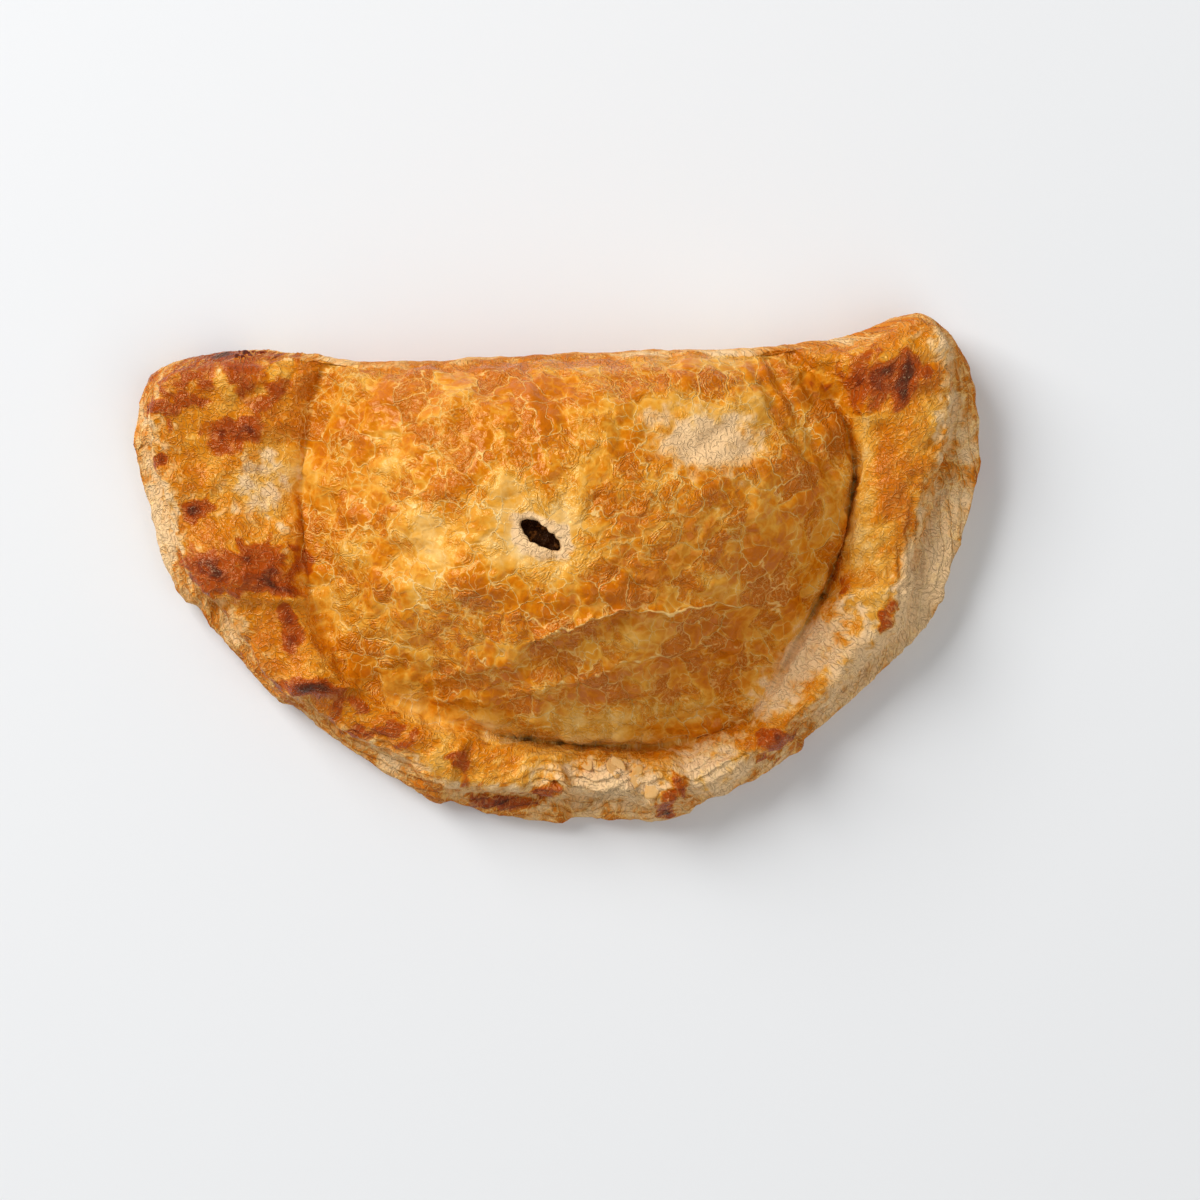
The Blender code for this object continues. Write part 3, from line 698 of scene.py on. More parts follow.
def blotches(p, marks):
    """How strongly the marks colour each point: 1 in the middle of a full one, falling off outwards."""
    most = np.zeros(len(p))
    for x, y, half_length, half_width, angle, strength in marks:
        c, s = math.cos(math.radians(angle)), math.sin(math.radians(angle))
        local = (p - (x, y)) @ np.array([[c, -s], [s, c]]) / (half_length, half_width)
        fallen = np.clip(MARK_MIDDLE - MARK_FALL * np.linalg.norm(local, axis=1), 0, 1)
        most = np.maximum(most, strength * fallen)
    return most


def linked(name, data):
    """A new object of the scene with this data."""
    made = bpy.data.objects.new(name, data)
    bpy.context.scene.collection.objects.link(made)
    return made


def mesh_of(name, points, faces):
    """A mesh of these points, in metres, and faces."""
    mesh = bpy.data.meshes.new(name)
    mesh.from_pydata(points, [], faces)
    mesh.update()
    return mesh


def store(mesh, name, values, kind="FLOAT"):
    """Stores one value or vector per point of the mesh."""
    layer = mesh.attributes.new(name, kind, "POINT")
    field = "value" if kind == "FLOAT" else "vector"
    layer.data.foreach_set(field, np.ascontiguousarray(values, np.float32).ravel())


class Net:
    """Writes a node tree, for a shader or for geometry, one sum at a time."""

    def __init__(self, tree):
        self.tree = tree

    def node(self, kind, inputs=(), **settings):
        made = self.tree.nodes.new(kind)
        for key, value in settings.items():
            setattr(made, key, value)
        for key, value in dict(inputs).items():
            self.put(made.inputs[key], value)
        return made

    def put(self, socket, value):
        if isinstance(value, bpy.types.NodeSocket):
            self.tree.links.new(value, socket)
        else:
            socket.default_value = value

    def math(self, operation, a, b=0.0):
        return self.node("ShaderNodeMath", {0: a, 1: b}, operation=operation).outputs[0]

    def add(self, *terms):
        total = terms[0]
        for term in terms[1:]:
            total = self.math("ADD", total, term)
        return total

    def times(self, *factors):
        product = factors[0]
        for factor in factors[1:]:
            product = self.math("MULTIPLY", product, factor)
        return product

    def largest(self, a, b):
        return self.math("MAXIMUM", a, b)

    def opposite(self, x):
        return self.math("SUBTRACT", 1.0, x)

    def ramp(self, x, low, high, to_low=0.0, to_high=1.0):
        """Eases from to_low to to_high as x goes from low to high."""
        inputs = {"Value": x, "From Min": low, "From Max": high, "To Min": to_low, "To Max": to_high}
        return self.node("ShaderNodeMapRange", inputs, interpolation_type="SMOOTHSTEP").outputs["Result"]

    def mix(self, share, a, b):
        """The colour a where the share is 0, and b where it is 1."""
        return self.node("ShaderNodeMix", {0: share, 6: a, 7: b}, data_type="RGBA").outputs[2]

    def palette(self, x, stops):
        made = self.node("ShaderNodeValToRGB", {0: x})
        elements = made.color_ramp.elements
        while len(elements) < len(stops):
            elements.new(0.5)
        for element, (at, colour) in zip(elements, stops):
            element.position = at
            element.color = (*colour, 1)
        return made.outputs[0]

    def stretched(self, vector, by):
        return self.node("ShaderNodeVectorMath", {0: vector, 1: by}, operation="MULTIPLY").outputs[0]

    def scaled(self, vector, scale):
        return self.node("ShaderNodeVectorMath", {0: vector, "Scale": scale}, operation="SCALE").outputs[0]

    def shifted(self, vector, by):
        return self.node("ShaderNodeVectorMath", {0: vector, 1: by}, operation="ADD").outputs[0]

    def dot(self, a, b):
        return self.node("ShaderNodeVectorMath", {0: a, 1: b}, operation="DOT_PRODUCT").outputs["Value"]

    def noise(self, vector, size, detail=2.0, rough=0.5, dimensions="2D"):
        """Soft noise round 0, from about -0.5 to 0.5, with lumps about this many millimetres apart."""
        inputs = {"Vector": vector, "Scale": 1 / size, "Detail": detail, "Roughness": rough}
        made = self.node("ShaderNodeTexNoise", inputs, noise_dimensions=dimensions)
        return self.math("SUBTRACT", made.outputs[0], 0.5)

    def bent(self, vector, size, by, dimensions="2D"):
        """The vector bent by soft noise of this size, by up to about half of by millimetres."""
        inputs = {"Vector": vector, "Scale": 1 / size, "Detail": 3.0}
        colour = self.node("ShaderNodeTexNoise", inputs, noise_dimensions=dimensions).outputs[1]
        return self.shifted(vector, self.scaled(self.shifted(colour, (-0.5, -0.5, -0.5)), by))

    def place(self):
        """The place on the object, in millimetres."""
        return self.scaled(self.node("ShaderNodeTexCoord").outputs["Object"], 1 / MM)

    def bump(self, height):
        """The normal of a surface with bumps of this height in millimetres."""
        inputs = {"Strength": 1.0, "Distance": MM, "Height": height}
        return self.node("ShaderNodeBump", inputs).outputs[0]

    def cells(self, vector, size, feature="F1"):
        """Irregular cells about this many millimetres across."""
        inputs = {"Vector": vector, "Scale": 1 / size}
        return self.node("ShaderNodeTexVoronoi", inputs, feature=feature, voronoi_dimensions="2D").outputs


class Crackle:
    """One level of the crackled glaze: the distance to its cracks in mm, a value for each cell, and the
    height of its facets, each of which leans its own way."""

    def __init__(self, net, place, size):
        self.edge = net.times(net.cells(place, size, "DISTANCE_TO_EDGE")["Distance"], size)
        cell = net.cells(place, size)
        away = net.shifted(place, net.scaled(cell["Position"], -1.0))
        lean = net.shifted(cell["Color"], (-0.5, -0.5, -0.5))
        self.facet = net.times(net.dot(away, lean), net.ramp(self.edge, 0.0, 0.25 * size))
        self.value = net.dot(cell["Color"], (0.4, 0.35, 0.25))


def surface_pattern(net, skin, wrap):
    """The slow parts of the pattern, which the mesh keeps on its points for the material."""
    grain = net.stretched(wrap, (1 / LAYER_LENGTH, 1 / LAYER_LENGTH, 1 / LAYER_THICKNESS))
    shifts = net.times(net.noise(wrap, 16.0, 2.0, dimensions="3D"), 3.0)
    steps = net.times(net.noise(wrap, 3.5, 2.0, dimensions="3D"), 0.7)
    return {
        "coarse_place": net.bent(skin, 5.5, 8.0),
        "fine_place": net.bent(skin, 2.5, 3.2),
        "grain": net.bent(grain, 3.0, 0.8, "3D"),
        "stack": net.add(net.times(net.dot(wrap, (0.0, 0.0, 1.0)), 1 / TERRACE), shifts, steps),
        "cloud": net.noise(skin, CLOUD_SIZE, 4.0, 0.62),
        "coarse_cracks": net.ramp(net.noise(skin, 14.0), -0.1, 0.1),
        "fine_cracks": net.ramp(net.noise(net.shifted(skin, (50.0, 0.0, 0.0)), 9.0), 0.0, 0.16),
    }


def terraces(net, stack):
    """Height of the stacked layers of dough, each of which rises outwards and ends in a step."""
    along = net.math("FRACT", stack)
    return net.times(along, net.ramp(along, 0.80, 1.0, 1.0, 0.0))


def relief_height(net, skin, pattern, glaze, layers, crackled):
    """Height in millimetres of the bumps that the mesh itself carries."""
    bare = net.times(net.opposite(glaze), net.ramp(crackled, 0.0, 1.0, 1.0, 0.35))
    coarse = Crackle(net, pattern["coarse_place"], CELL_SIZE)
    slabs = net.ramp(net.noise(net.bent(skin, 5.0, 6.0), 9.0, 2.0), -0.02, 0.02)
    parts = {
        "lumps": (net.noise(skin, LUMP_SIZE, 2.0),),
        "crumple": (net.math("ABSOLUTE", net.noise(net.bent(skin, 9.0, 9.0), 15.0, 1.0)),),
        "pillows": (net.ramp(coarse.edge, 0.0, 1.6), glaze, crackled),
        "facets": (coarse.facet, glaze, crackled),
        "scales": (coarse.facet, layers),
        "knobs": (net.noise(net.bent(skin, 4.0, 4.0), 6.0, 2.0), bare),
        "curls": (net.noise(net.bent(skin, 3.0, 3.0), 2.6, 1.0), bare),
        "slabs": (slabs, bare),
        "sheets": (net.noise(pattern["grain"], 1.0, 3.0, 0.6, "3D"), layers),
        "terraces": (terraces(net, pattern["stack"]), layers),
    }
    heights = [net.times(*factors, RELIEF[name]) for name, factors in parts.items()]
    return net.add(*heights, RELIEF["middle"])


def displaced(mesh_object):
    """Keeps the pattern on the crust's points, moves them along their normals by the relief, and keeps
    the result as its mesh."""
    tree = bpy.data.node_groups.new("crust_relief", "GeometryNodeTree")
    tree.interface.new_socket("Geometry", in_out="INPUT", socket_type="NodeSocketGeometry")
    tree.interface.new_socket("Geometry", in_out="OUTPUT", socket_type="NodeSocketGeometry")
    net = Net(tree)

    def attribute(name, kind="FLOAT"):
        return net.node("GeometryNodeInputNamedAttribute", {"Name": name}, data_type=kind).outputs[0]

    geometry = net.node("NodeGroupInput").outputs[0]
    skin, wrap = attribute("skin", "FLOAT_VECTOR"), attribute("wrap", "FLOAT_VECTOR")
    pattern = surface_pattern(net, skin, wrap)
    for name, value in pattern.items():
        kind = "FLOAT_VECTOR" if value.type in ("VECTOR", "RGBA") else "FLOAT"
        inputs = {"Geometry": geometry, "Name": name, "Value": value}
        geometry = net.node("GeometryNodeStoreNamedAttribute", inputs, data_type=kind).outputs[0]
    strengths = [attribute(name) for name in ("glaze", "layers", "crackled")]
    height = net.times(relief_height(net, skin, pattern, *strengths), attribute("relief"), MM)
    offset = net.scaled(net.node("GeometryNodeInputNormal").outputs[0], height)
    moved = net.node("GeometryNodeSetPosition", {"Geometry": geometry, "Offset": offset})
    net.put(net.node("NodeGroupOutput").inputs[0], moved.outputs[0])
    modifier = mesh_object.modifiers.new("relief", "NODES")
    modifier.node_group = tree
    graph = bpy.context.evaluated_depsgraph_get()
    mesh = bpy.data.meshes.new_from_object(mesh_object.evaluated_get(graph))
    mesh_object.modifiers.clear()
    mesh_object.data = mesh
    mesh.shade_smooth()
    return mesh_object


def unrolled(plan, rings):
    """Each point's place on the crust laid flat round the vent's lip, and on it wrapped round a drum."""
    run = np.linalg.norm(np.diff(np.stack(rings), axis=0, prepend=[rings[0]]), axis=2).cumsum(axis=0)
    lip = rings[PIT_RINGS][:, :2]
    spoke = plan.foot - lip
    spoke /= np.linalg.norm(spoke, axis=1)[:, None]
    skin = lip + spoke * (run - run[PIT_RINGS])[..., None]
    turn = 2 * np.pi * np.arange(SPOKES) / SPOKES + 0 * run
    radius = plan.perimeter / (2 * np.pi)
    wrap = np.stack([radius * np.cos(turn), radius * np.sin(turn), run], axis=-1)
    return np.column_stack([skin.reshape(-1, 2), 0 * run.ravel()]), wrap.reshape(-1, 3)


def make_crust(plan):
    """The crust as one closed mesh: vent, dome, rolled rim, under-layer and base."""
    rings, *strengths = zip(*crust_rings(plan))
    glaze, layers, relief, painted_shade, crackled = (np.repeat(strength, SPOKES) for strength in strengths)
    points = np.concatenate(rings)
    inner, here = SPOKES * np.arange(len(rings) - 1)[:, None], np.arange(SPOKES)
    outer, ahead = inner + SPOKES, (here + 1) % SPOKES
    quads = np.stack([inner + here, outer + here, outer + ahead, inner + ahead], axis=-1).reshape(-1, 4)
    caps = [list(range(SPOKES)), list(range(len(points) - 1, len(points) - 1 - SPOKES, -1))]
    mesh = mesh_of("golden_crust", plan.metres(points), quads.tolist() + caps)
    flat = points[:, :2]
    skin, wrap = unrolled(plan, rings)
    # A narrow line along the bottom of the crease's groove, to carry painted shade
    painted_crease_line = np.concatenate([plan.groove(ring[:, :2], CREASE_SHADE_WIDTH) for ring in rings])
    unglazed = blotches(flat, BARE)
    sealed = np.tile(1 - FOLD_SEALED * plan.fold, len(rings))
    above_base = np.clip((points[:, 2] - SMOOTH_BASE) / RELIEF_RISE, 0, 1)
    store(mesh, "skin", skin, "FLOAT_VECTOR")
    store(mesh, "wrap", wrap, "FLOAT_VECTOR")
    store(mesh, "glaze", glaze * (1 - BARENESS * unglazed))
    store(mesh, "layers", np.maximum(layers * sealed, blotches(flat, FLAKY) * (crackled < 1)))
    store(mesh, "crackled", crackled)
    # Painted shade: dark down the vent, and in a line along the crease's groove
    store(mesh, "painted_shade", np.maximum(painted_shade, CREASE_SHADE * smooth(painted_crease_line / DARKEST_CREASE)))
    store(mesh, "relief", relief * above_base)
    store(mesh, "fold_edge", fold_edges(flat) * (crackled == 1))
    store(mesh, "burnt", blotches(flat, BURNT))
    store(mesh, "orange", blotches(flat, ORANGE))
    store(mesh, "pale", np.maximum(blotches(flat, PALE), unglazed))
    return displaced(linked("golden_crust", mesh))


def flake_plate(rng, size):
    """A lifted flake of dough as a thin wavy plate whose far side curls up: its points and faces in
    millimetres, and how near to its edge each point is."""
    turn = 2 * np.pi * np.arange(FLAKE_SPOKES) / FLAKE_SPOKES
    shares = np.linspace(0, 1, FLAKE_RINGS + 1)[1:]
    waves = sum(a * np.sin(k * turn + rng.uniform(0, 2 * np.pi)) for k, a in FLAKE_WAVES)
    reach = 0.5 * size * (1 + waves)
    x = np.append((shares[:, None] * reach * np.cos(turn)).ravel(), 0)
    y = np.append((shares[:, None] * reach * np.sin(turn)).ravel(), 0) * FLAKE_NARROWNESS
    ripple = np.sin(5 * y / size + rng.uniform(0, 2 * np.pi))
    z = FLAKE_LIFT * smooth(x / size + 0.5) ** 2 + FLAKE_RIPPLE * ripple
    top = np.column_stack([x, y, z])
    points = np.vstack([top, top - [0, 0, FLAKE_THICKNESS]])
    edge = np.tile(np.append(np.repeat(shares, FLAKE_SPOKES), 0), 2)
    spokes = [(k, (k + 1) % FLAKE_SPOKES) for k in range(FLAKE_SPOKES)]
    below, middle = len(top), len(top) - 1
    upper = [(middle, a, b) for a, b in spokes]
    for ring in range(0, (FLAKE_RINGS - 1) * FLAKE_SPOKES, FLAKE_SPOKES):
        outer = ring + FLAKE_SPOKES
        upper += [(ring + a, outer + a, outer + b, ring + b) for a, b in spokes]
    lower = [tuple(below + v for v in reversed(face)) for face in upper]
    rim = (FLAKE_RINGS - 1) * FLAKE_SPOKES
    wall = [(rim + a, below + rim + a, below + rim + b, rim + b) for a, b in spokes]
    return points, upper + lower + wall, edge


def scattered(rng, centre, half):
    """A random place within an oval."""
    reach, turn = math.sqrt(rng.uniform()), rng.uniform(0, 2 * math.pi)
    return centre + reach * np.array(half) * [math.cos(turn), math.sin(turn)]


def make_flakes(plan, crust):
    """The loose flakes of the rim, each lying on the crust with its far side lifted."""
    rng = np.random.default_rng(SEED)
    ground = BVHTree.FromObject(crust, bpy.context.evaluated_depsgraph_get())
    points, faces, tones, count = [], [], [], 0
    for centre, half, number, size, tone in FLAKE_CLUSTERS:
        for _ in range(number):
            place = scattered(rng, centre, half)
            over = Vector((*(place - plan.middle), DROP_HEIGHT)) * MM
            hit, normal, _, _ = ground.ray_cast(over, Vector((0, 0, -1)))
            if hit is None:
                continue
            up = (normal + Vector((0, 0, FLAKE_LEVEL))).normalized()
            outward = math.radians(float(bearing_of(place))) + rng.uniform(-FLAKE_TURN, FLAKE_TURN)
            ahead = Vector((math.cos(outward), math.sin(outward), 0))
            ahead = (ahead - up * ahead.dot(up)).normalized()
            axes = np.array([ahead, up.cross(ahead), up])
            plate, plate_faces, edge = flake_plate(rng, size * rng.uniform(*FLAKE_SIZES))
            points.append((plate @ axes) * MM + np.array(hit + up * FLAKE_SINK * MM))
            faces += [tuple(count + v for v in face) for face in plate_faces]
            own_tone = tone + rng.uniform(-FLAKE_TONE_SPREAD, FLAKE_TONE_SPREAD)
            tones.append(own_tone + FLAKE_EDGE_TONE * edge**3)
            count += len(plate)
    mesh = mesh_of("lifted_flakes", np.concatenate(points), faces)
    mesh.shade_smooth()
    store(mesh, "tone", np.concatenate(tones))
    return linked("lifted_flakes", mesh)


def new_material(name):
    """A new material, the writer of its node tree, and its shader."""
    mat = bpy.data.materials.new(name)
    mat.use_nodes = True
    return mat, Net(mat.node_tree), mat.node_tree.nodes["Principled BSDF"]


def flake_material():
    """Dry flakes of dough: cream in the middle and golden at the edges."""
    mat, net, shader = new_material("dry_flakes")
    place = net.place()
    patchy = net.noise(place, 1.6, 3.0, 0.6, "3D")
    own_tone = net.node("ShaderNodeAttribute", attribute_name="tone").outputs["Fac"]
    tone = net.add(own_tone, net.times(patchy, 0.5))
    colour = net.palette(tone, BAKE_COLOURS)
    colour = net.mix(net.ramp(tone, 0.2, 0.5, 0.85, 0.0), colour, FLAKE_COLOUR)
    net.put(shader.inputs["Base Color"], colour)
    height = net.times(net.noise(place, 0.6, 2.0, 0.6, "3D"), 0.15)
    net.put(shader.inputs["Normal"], net.bump(height))
    net.put(shader.inputs["Roughness"], net.ramp(patchy, -0.2, 0.2, 0.45, 0.75))
    shader.inputs["Specular IOR Level"].default_value = FLAKE_SPECULAR
    return mat


def make_filling(plan):
    """The lump of filling that shows in the vent, in the pocket under it."""
    rng = np.random.default_rng(SEED)
    size = np.array(POCKET_SIZE) - 2 * FILLING_GAP
    tilt = np.linspace(-0.5, 0.5, FILLING_RINGS + 1)[1:-1] * np.pi
    turn = 2 * np.pi * np.arange(FILLING_SPOKES) / FILLING_SPOKES
    across = np.cos(tilt)[:, None]
    height = np.sin(tilt)[:, None] + 0 * turn
    ball = np.stack([across * np.cos(turn), across * np.sin(turn), height], axis=-1)
    ball = np.vstack([ball.reshape(-1, 3), [(0, 0, -1), (0, 0, 1)]])
    p = 0.5 * ball * size
    waves = rng.normal(0, FILLING_WAVE_RATE, (FILLING_WAVES, 3))
    lumps = sum(np.sin(p @ w + k) for k, w in enumerate(waves)) / FILLING_WAVES
    above = p[:, 2] > 0
    p[above, 2] = FILLING_FLATNESS * p[above, 2] + FILLING_LUMPS * (lumps * ball[:, 2])[above]
    spokes = [(k, (k + 1) % FILLING_SPOKES) for k in range(FILLING_SPOKES)]
    quads = []
    for low in range(0, (len(tilt) - 1) * FILLING_SPOKES, FILLING_SPOKES):
        high = low + FILLING_SPOKES
        quads += [(low + a, low + b, high + b, high + a) for a, b in spokes]
    last, foot, top = (len(tilt) - 1) * FILLING_SPOKES, len(ball) - 2, len(ball) - 1
    caps = [(foot, b, a) for a, b in spokes] + [(top, last + a, last + b) for a, b in spokes]
    placed = vent_place(p[:, :2], p[:, 2] + vent_lip(plan).mean() - CRUST_THICKNESS - POCKET_DROP)
    mesh = mesh_of("meat_filling", plan.metres(placed), quads + caps)
    mesh.shade_smooth()
    return linked("meat_filling", mesh)


def filling_material():
    """Dark, moist minced meat with a few lighter pieces."""
    mat, net, shader = new_material("moist_filling")
    place = net.place()
    piece = net.noise(net.bent(place, 2.0, 1.5, "3D"), 1.8, 2.0, 0.6, "3D")
    colour = net.mix(net.ramp(piece, 0.05, 0.2), DARK_MEAT_COLOUR, LIGHT_MEAT_COLOUR)
    net.put(shader.inputs["Base Color"], colour)
    height = net.times(net.noise(place, 0.7, 3.0, 0.6, "3D"), 0.4)
    net.put(shader.inputs["Normal"], net.bump(height))
    net.put(shader.inputs["Roughness"], net.ramp(piece, -0.1, 0.2, 0.25, 0.5))
    shader.inputs["Specular IOR Level"].default_value = MEAT_SPECULAR
    shader.inputs["Specular Tint"].default_value = MEAT_TINT
    return mat


class Surface:
    """The crust's surface as its material sees it: what the mesh keeps on its points, and the patterns
    that the colour and the bumps share."""

    def __init__(self, net):
        self.net = net
        self.skin = self.kept("skin", "Vector")
        self.layers, self.crackled = self.kept("layers"), self.kept("crackled")
        self.mottle = net.noise(self.skin, MOTTLE_SIZE)
        self.glaze = net.ramp(net.add(self.kept("glaze"), net.times(self.mottle, 0.9)), 0.25, 0.6)
        self.bare, self.smooth_rim = net.opposite(self.glaze), net.opposite(self.crackled)
        fine_place = self.kept("fine_place", "Vector")
        self.coarse = Crackle(net, self.kept("coarse_place", "Vector"), CELL_SIZE)
        self.fine = Crackle(net, fine_place, FINE_CELL_SIZE)
        self.worms = net.math("ABSOLUTE", net.noise(fine_place, CURL_SIZE, 1.0))
        mottled_cell = net.add(self.coarse.value, net.times(self.mottle, 0.5))
        self.wrinkled = net.times(net.ramp(mottled_cell, 0.42, 0.54), self.glaze, self.crackled)
        along = net.math("FRACT", self.kept("stack"))
        outer_edge = net.ramp(along, 0.80, 0.90, 1.0, 0.0)
        self.lip = net.times(net.ramp(along, 0.45, 0.80), outer_edge, self.layers)
        # The seam under the step of each layer: the bumps sink it, and its darkening of the colour is
        # painted shade
        self.shaded_seam = net.times(net.ramp(along, 0.86, 0.94), self.layers)
        grain = net.noise(self.kept("grain", "Vector"), 1.0, 3.0, 0.65, "3D")
        self.layer = net.times(grain, self.layers)
        self.ragged = self.ragged_marks()
        self.line = self.pale_lines()

    def kept(self, name, output="Fac"):
        """A value or vector that the mesh keeps on its points."""
        return self.net.node("ShaderNodeAttribute", attribute_name=name).outputs[output]

    def ragged_marks(self):
        """How burnt each place is, in marks with uneven edges."""
        net, burnt = self.net, self.kept("burnt")
        cloud = net.times(self.kept("cloud"), 0.45)
        lobes = net.times(net.noise(net.bent(self.skin, 5.0, 4.0), LOBE_SIZE, 1.5), 1.15)
        uneven = net.add(cloud, lobes, net.times(self.mottle, 0.25))
        return net.add(burnt, net.times(uneven, net.ramp(burnt, 0.0, 0.25)))

    def pale_lines(self):
        """The pale lines: cracks of the glaze, a line along the top edge of each fold's drop, edges of
        scales, and curls.
        """
        net, edge = self.net, self.coarse.edge
        rim_curls = net.add(net.times(self.bare, 0.6), net.times(self.smooth_rim, 0.8))
        curl = net.times(net.ramp(self.worms, 0.0, 0.05, 1.0, 0.0), net.largest(self.wrinkled, rim_curls))
        crack = net.times(net.ramp(edge, 0.0, CRACK_WIDTH, 1.0, 0.0), self.kept("coarse_cracks"))
        fine_crack = net.ramp(self.fine.edge, 0.0, 0.7 * CRACK_WIDTH, 0.7, 0.0)
        crack = net.largest(crack, net.times(fine_crack, self.kept("fine_cracks")))
        crack = net.times(crack, self.glaze, self.crackled)
        scale_edge = net.times(net.ramp(edge, 0.0, 1.4 * CRACK_WIDTH, 1.0, 0.0), self.layers, 0.7)
        # A pale line just above the drop of each fold
        fold_line = net.ramp(net.add(self.kept("fold_edge"), self.mottle), 0.4, 0.7)
        line = net.largest(net.largest(crack, fold_line), net.largest(scale_edge, net.times(curl, 0.5)))
        return net.times(line, net.ramp(self.ragged, 0.3, 0.9, 1.0, 0.3))

    def toned(self, parts):
        """The sum of how far these things, each a named value, darken the bake."""
        return self.net.add(*[self.net.times(value, TONES[name]) for name, value in parts.items()])

    def tone(self):
        """How far each place is baked, from raw at 0 to charred at 1."""
        net, coarse, fine = self.net, self.coarse, self.fine
        slow = {name: self.kept(name) for name in ("orange", "pale", "cloud")}
        tone = net.add(TONES["middle"], self.toned(slow))
        contrast = net.times(net.ramp(tone, 0.2, 0.5, 0.35, 1.0), self.glaze, self.crackled)
        halo = net.ramp(coarse.edge, 0.1, 1.5, 1.0, 0.0)
        in_cell = self.toned({"cell": coarse.value, "fine cell": fine.value, "halo": halo})
        in_cell = net.add(in_cell, TONES["any cell"], net.ramp(fine.edge, 0.05, 0.7, -0.05, 0.02))
        rim_mottle = net.times(self.mottle, self.smooth_rim)
        speckle = net.noise(self.skin, SPECKLE_SIZE, 1.0)
        spots = {"mottle": self.mottle, "rim mottle": rim_mottle, "speckle": speckle, "bare": self.bare}
        tone = net.add(tone, self.toned(spots), net.times(in_cell, contrast))
        tone = net.math("MINIMUM", tone, TONES["darkest glaze"])
        tone = net.largest(tone, net.ramp(self.ragged, 0.1, 0.62, 0.0, TONES["brown"]))
        tone = net.add(tone, net.ramp(self.ragged, 0.68, 1.2, 0.0, TONES["char"]))
        scale = net.times(net.add(coarse.value, -0.5), self.layers)
        # The seam's darkening is painted shade under each layer's step
        edges = {"layer": self.layer, "scale": scale, "lip": self.lip, "shaded_seam": self.shaded_seam}
        return net.add(tone, self.toned(edges))

    def colour(self):
        """The colour of the bake, with bare dough, pale lines and painted shade in the vent and the crease.
        """
        net, tone, painted_shade = self.net, self.tone(), self.kept("painted_shade")
        colour = net.palette(net.add(tone, self.toned({"line": self.line})), BAKE_COLOURS)
        dough = net.times(self.bare, net.ramp(tone, 0.2, 0.5, 0.85, 0.0))
        colour = net.mix(dough, colour, DOUGH_COLOUR)
        colour = net.mix(net.times(self.line, 0.5), colour, CRACK_COLOUR)
        # Painted shade, near black down the vent and along the crease, made uneven by the mottle
        painted_shade = net.add(painted_shade, net.times(self.mottle, net.ramp(painted_shade, 0.0, 0.3), 0.5))
        return net.mix(net.ramp(painted_shade, 0.08, 0.4), colour, PAINTED_SHADE_COLOUR)

    def bumps(self):
        """Height in millimetres of the bumps that are too fine for the mesh."""
        net, coarse, fine = self.net, self.coarse, self.fine
        turns = net.add(net.times(coarse.edge, 2 * math.pi / WRINKLE_SIZE), net.times(self.mottle, 9.0))
        grit = net.noise(self.skin, WRINKLE_SIZE, 2.0, 0.6)
        blister = net.ramp(self.ragged, 0.45, 0.8)
        curled = net.largest(net.largest(self.bare, self.smooth_rim), blister)
        parts = {
            "line": (self.line,),
            "facet": (fine.facet, self.glaze),
            "wrinkle": (net.math("SINE", turns), self.wrinkled),
            "grit": (grit,),
            "bare grit": (grit, self.bare),
            "rim grit": (grit, self.smooth_rim),
            "curl": (net.ramp(self.worms, 0.0, 0.12, 1.0, 0.0), curled),
            "layer": (self.layer,),
            "lip": (self.lip,),
            "scale": (coarse.facet, self.layers),
            "shaded_seam": (self.shaded_seam,),
        }
        return net.add(*[net.times(*factors, BUMPS[name]) for name, factors in parts.items()])


def crust_material():
    """Egg-washed pastry: pale dough that bakes to gold, orange and brown, under a crackled glaze."""
    mat, net, shader = new_material("egg_washed_pastry")
    surface = Surface(net)
    net.put(shader.inputs["Base Color"], surface.colour())
    net.put(shader.inputs["Normal"], net.bump(surface.bumps()))
    shine = net.largest(surface.glaze, surface.ragged)
    net.put(shader.inputs["Roughness"], net.ramp(shine, 0.0, 0.8, DRY_ROUGHNESS, GLAZE_ROUGHNESS))
    shader.inputs["Specular IOR Level"].default_value = GLAZE_SPECULAR
    shader.inputs["Specular Tint"].default_value = GLAZE_TINT
    return mat


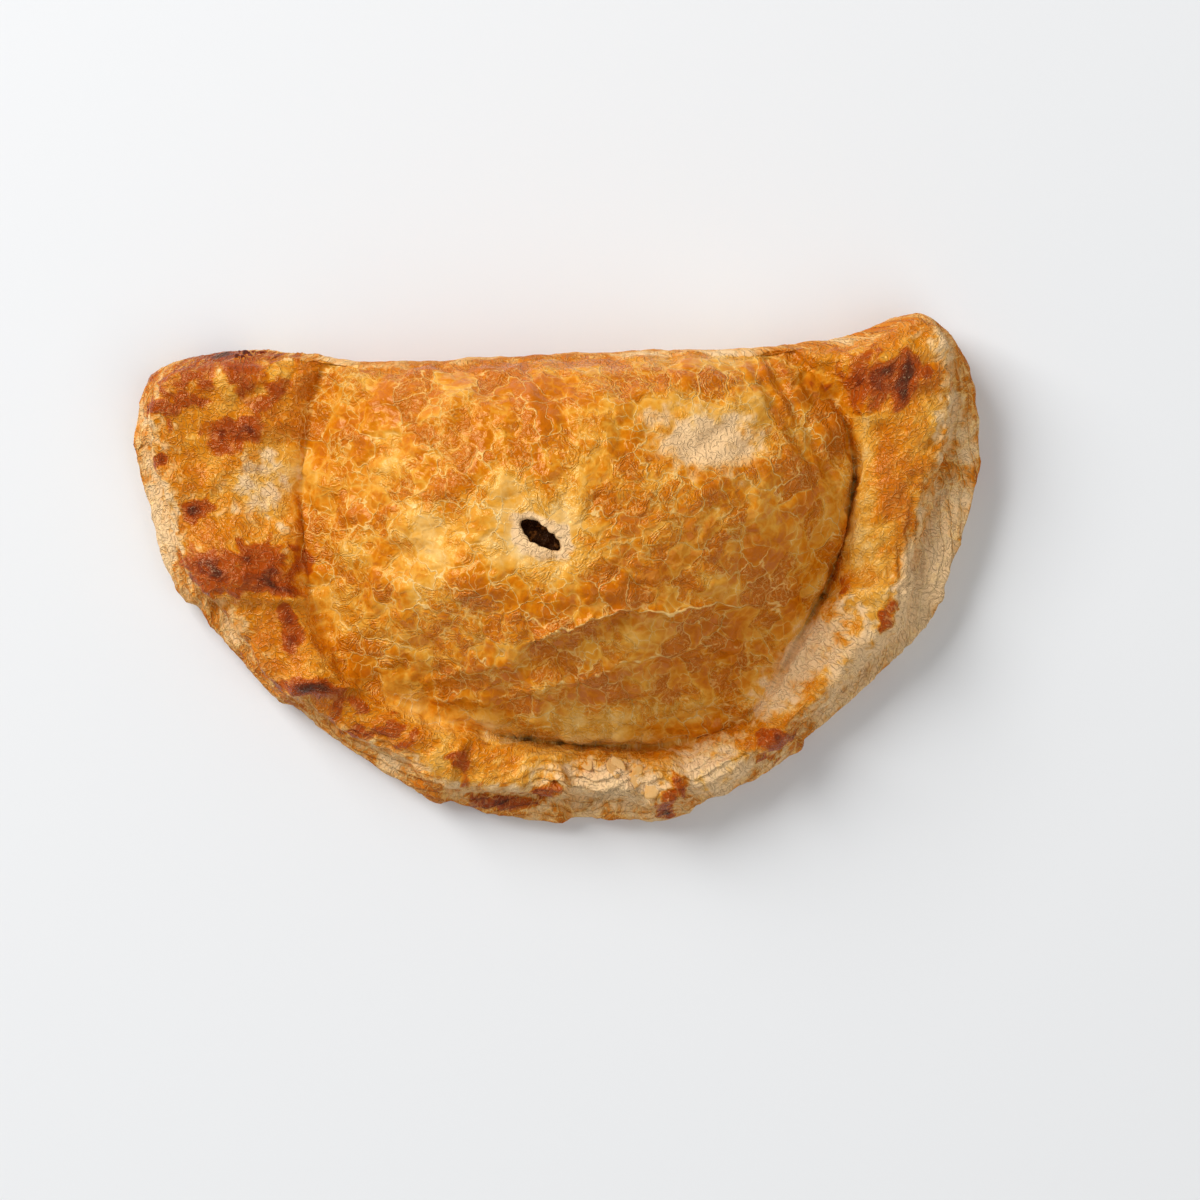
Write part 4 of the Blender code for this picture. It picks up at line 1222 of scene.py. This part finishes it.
def make_stage():
    """A plain pale floor under the pasty, soft light from the upper left, and a dim even room."""
    corners = [(FLOOR_REACH * x, FLOOR_REACH * y, 0) for x, y in ((-1, -1), (1, -1), (1, 1), (-1, 1))]
    floor = linked("floor", mesh_of("floor", corners, [(0, 1, 2, 3)]))
    mat, _, shader = new_material("pale_floor")
    shader.inputs["Base Color"].default_value = FLOOR_COLOUR
    shader.inputs["Roughness"].default_value = FLOOR_ROUGHNESS
    shader.inputs["Specular IOR Level"].default_value = FLOOR_SPECULAR
    floor.data.materials.append(mat)
    for name, place, size, power in LIGHTS:
        add_light(name, place, size, power)
    world = bpy.data.worlds.new("room")
    world.use_nodes = True
    net = Net(world.node_tree)
    direction = net.node("ShaderNodeTexCoord").outputs["Generated"]
    upward = net.dot(direction, (0.0, 0.0, 1.0))
    background = world.node_tree.nodes["Background"]
    background.inputs["Color"].default_value = (1.0, 1.0, 1.0, 1)
    net.put(background.inputs["Strength"], net.ramp(upward, 0.0, 1.0, WALLS, CEILING))
    bpy.context.scene.world = world


def add_light(name, place, size, power):
    """A square soft light at a place, turned to the pasty."""
    data = bpy.data.lights.new(name, "AREA")
    data.size = size
    data.energy = power
    light = linked(name, data)
    light.location = place
    light.rotation_euler = (-light.location).to_track_quat("-Z", "Y").to_euler()


def make_camera(middle):
    """The camera straight above the pasty, framed as in the photograph."""
    data = bpy.data.cameras.new("camera")
    data.lens = LENS
    data.sensor_width = SENSOR
    camera = linked("camera", data)
    x, y = FRAME_MIDDLE[0] - middle[0], FRAME_MIDDLE[1] - middle[1]
    camera.location = (x * MM, y * MM, (PLANE_HEIGHT + FRAME_WIDTH * LENS / SENSOR) * MM)
    bpy.context.scene.camera = camera


plan = Plan(SPOKES)
make_camera(plan.middle)
make_stage()
crust = make_crust(plan)
crust.data.materials.append(crust_material())
loose = make_flakes(plan, crust)
loose.data.materials.append(flake_material())
filling = make_filling(plan)
filling.data.materials.append(filling_material())
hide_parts("pastry")
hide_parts("filling")
for piece in (crust, loose, filling):
    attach(piece, "root")

bpy.context.scene.view_settings.view_transform = "Standard"
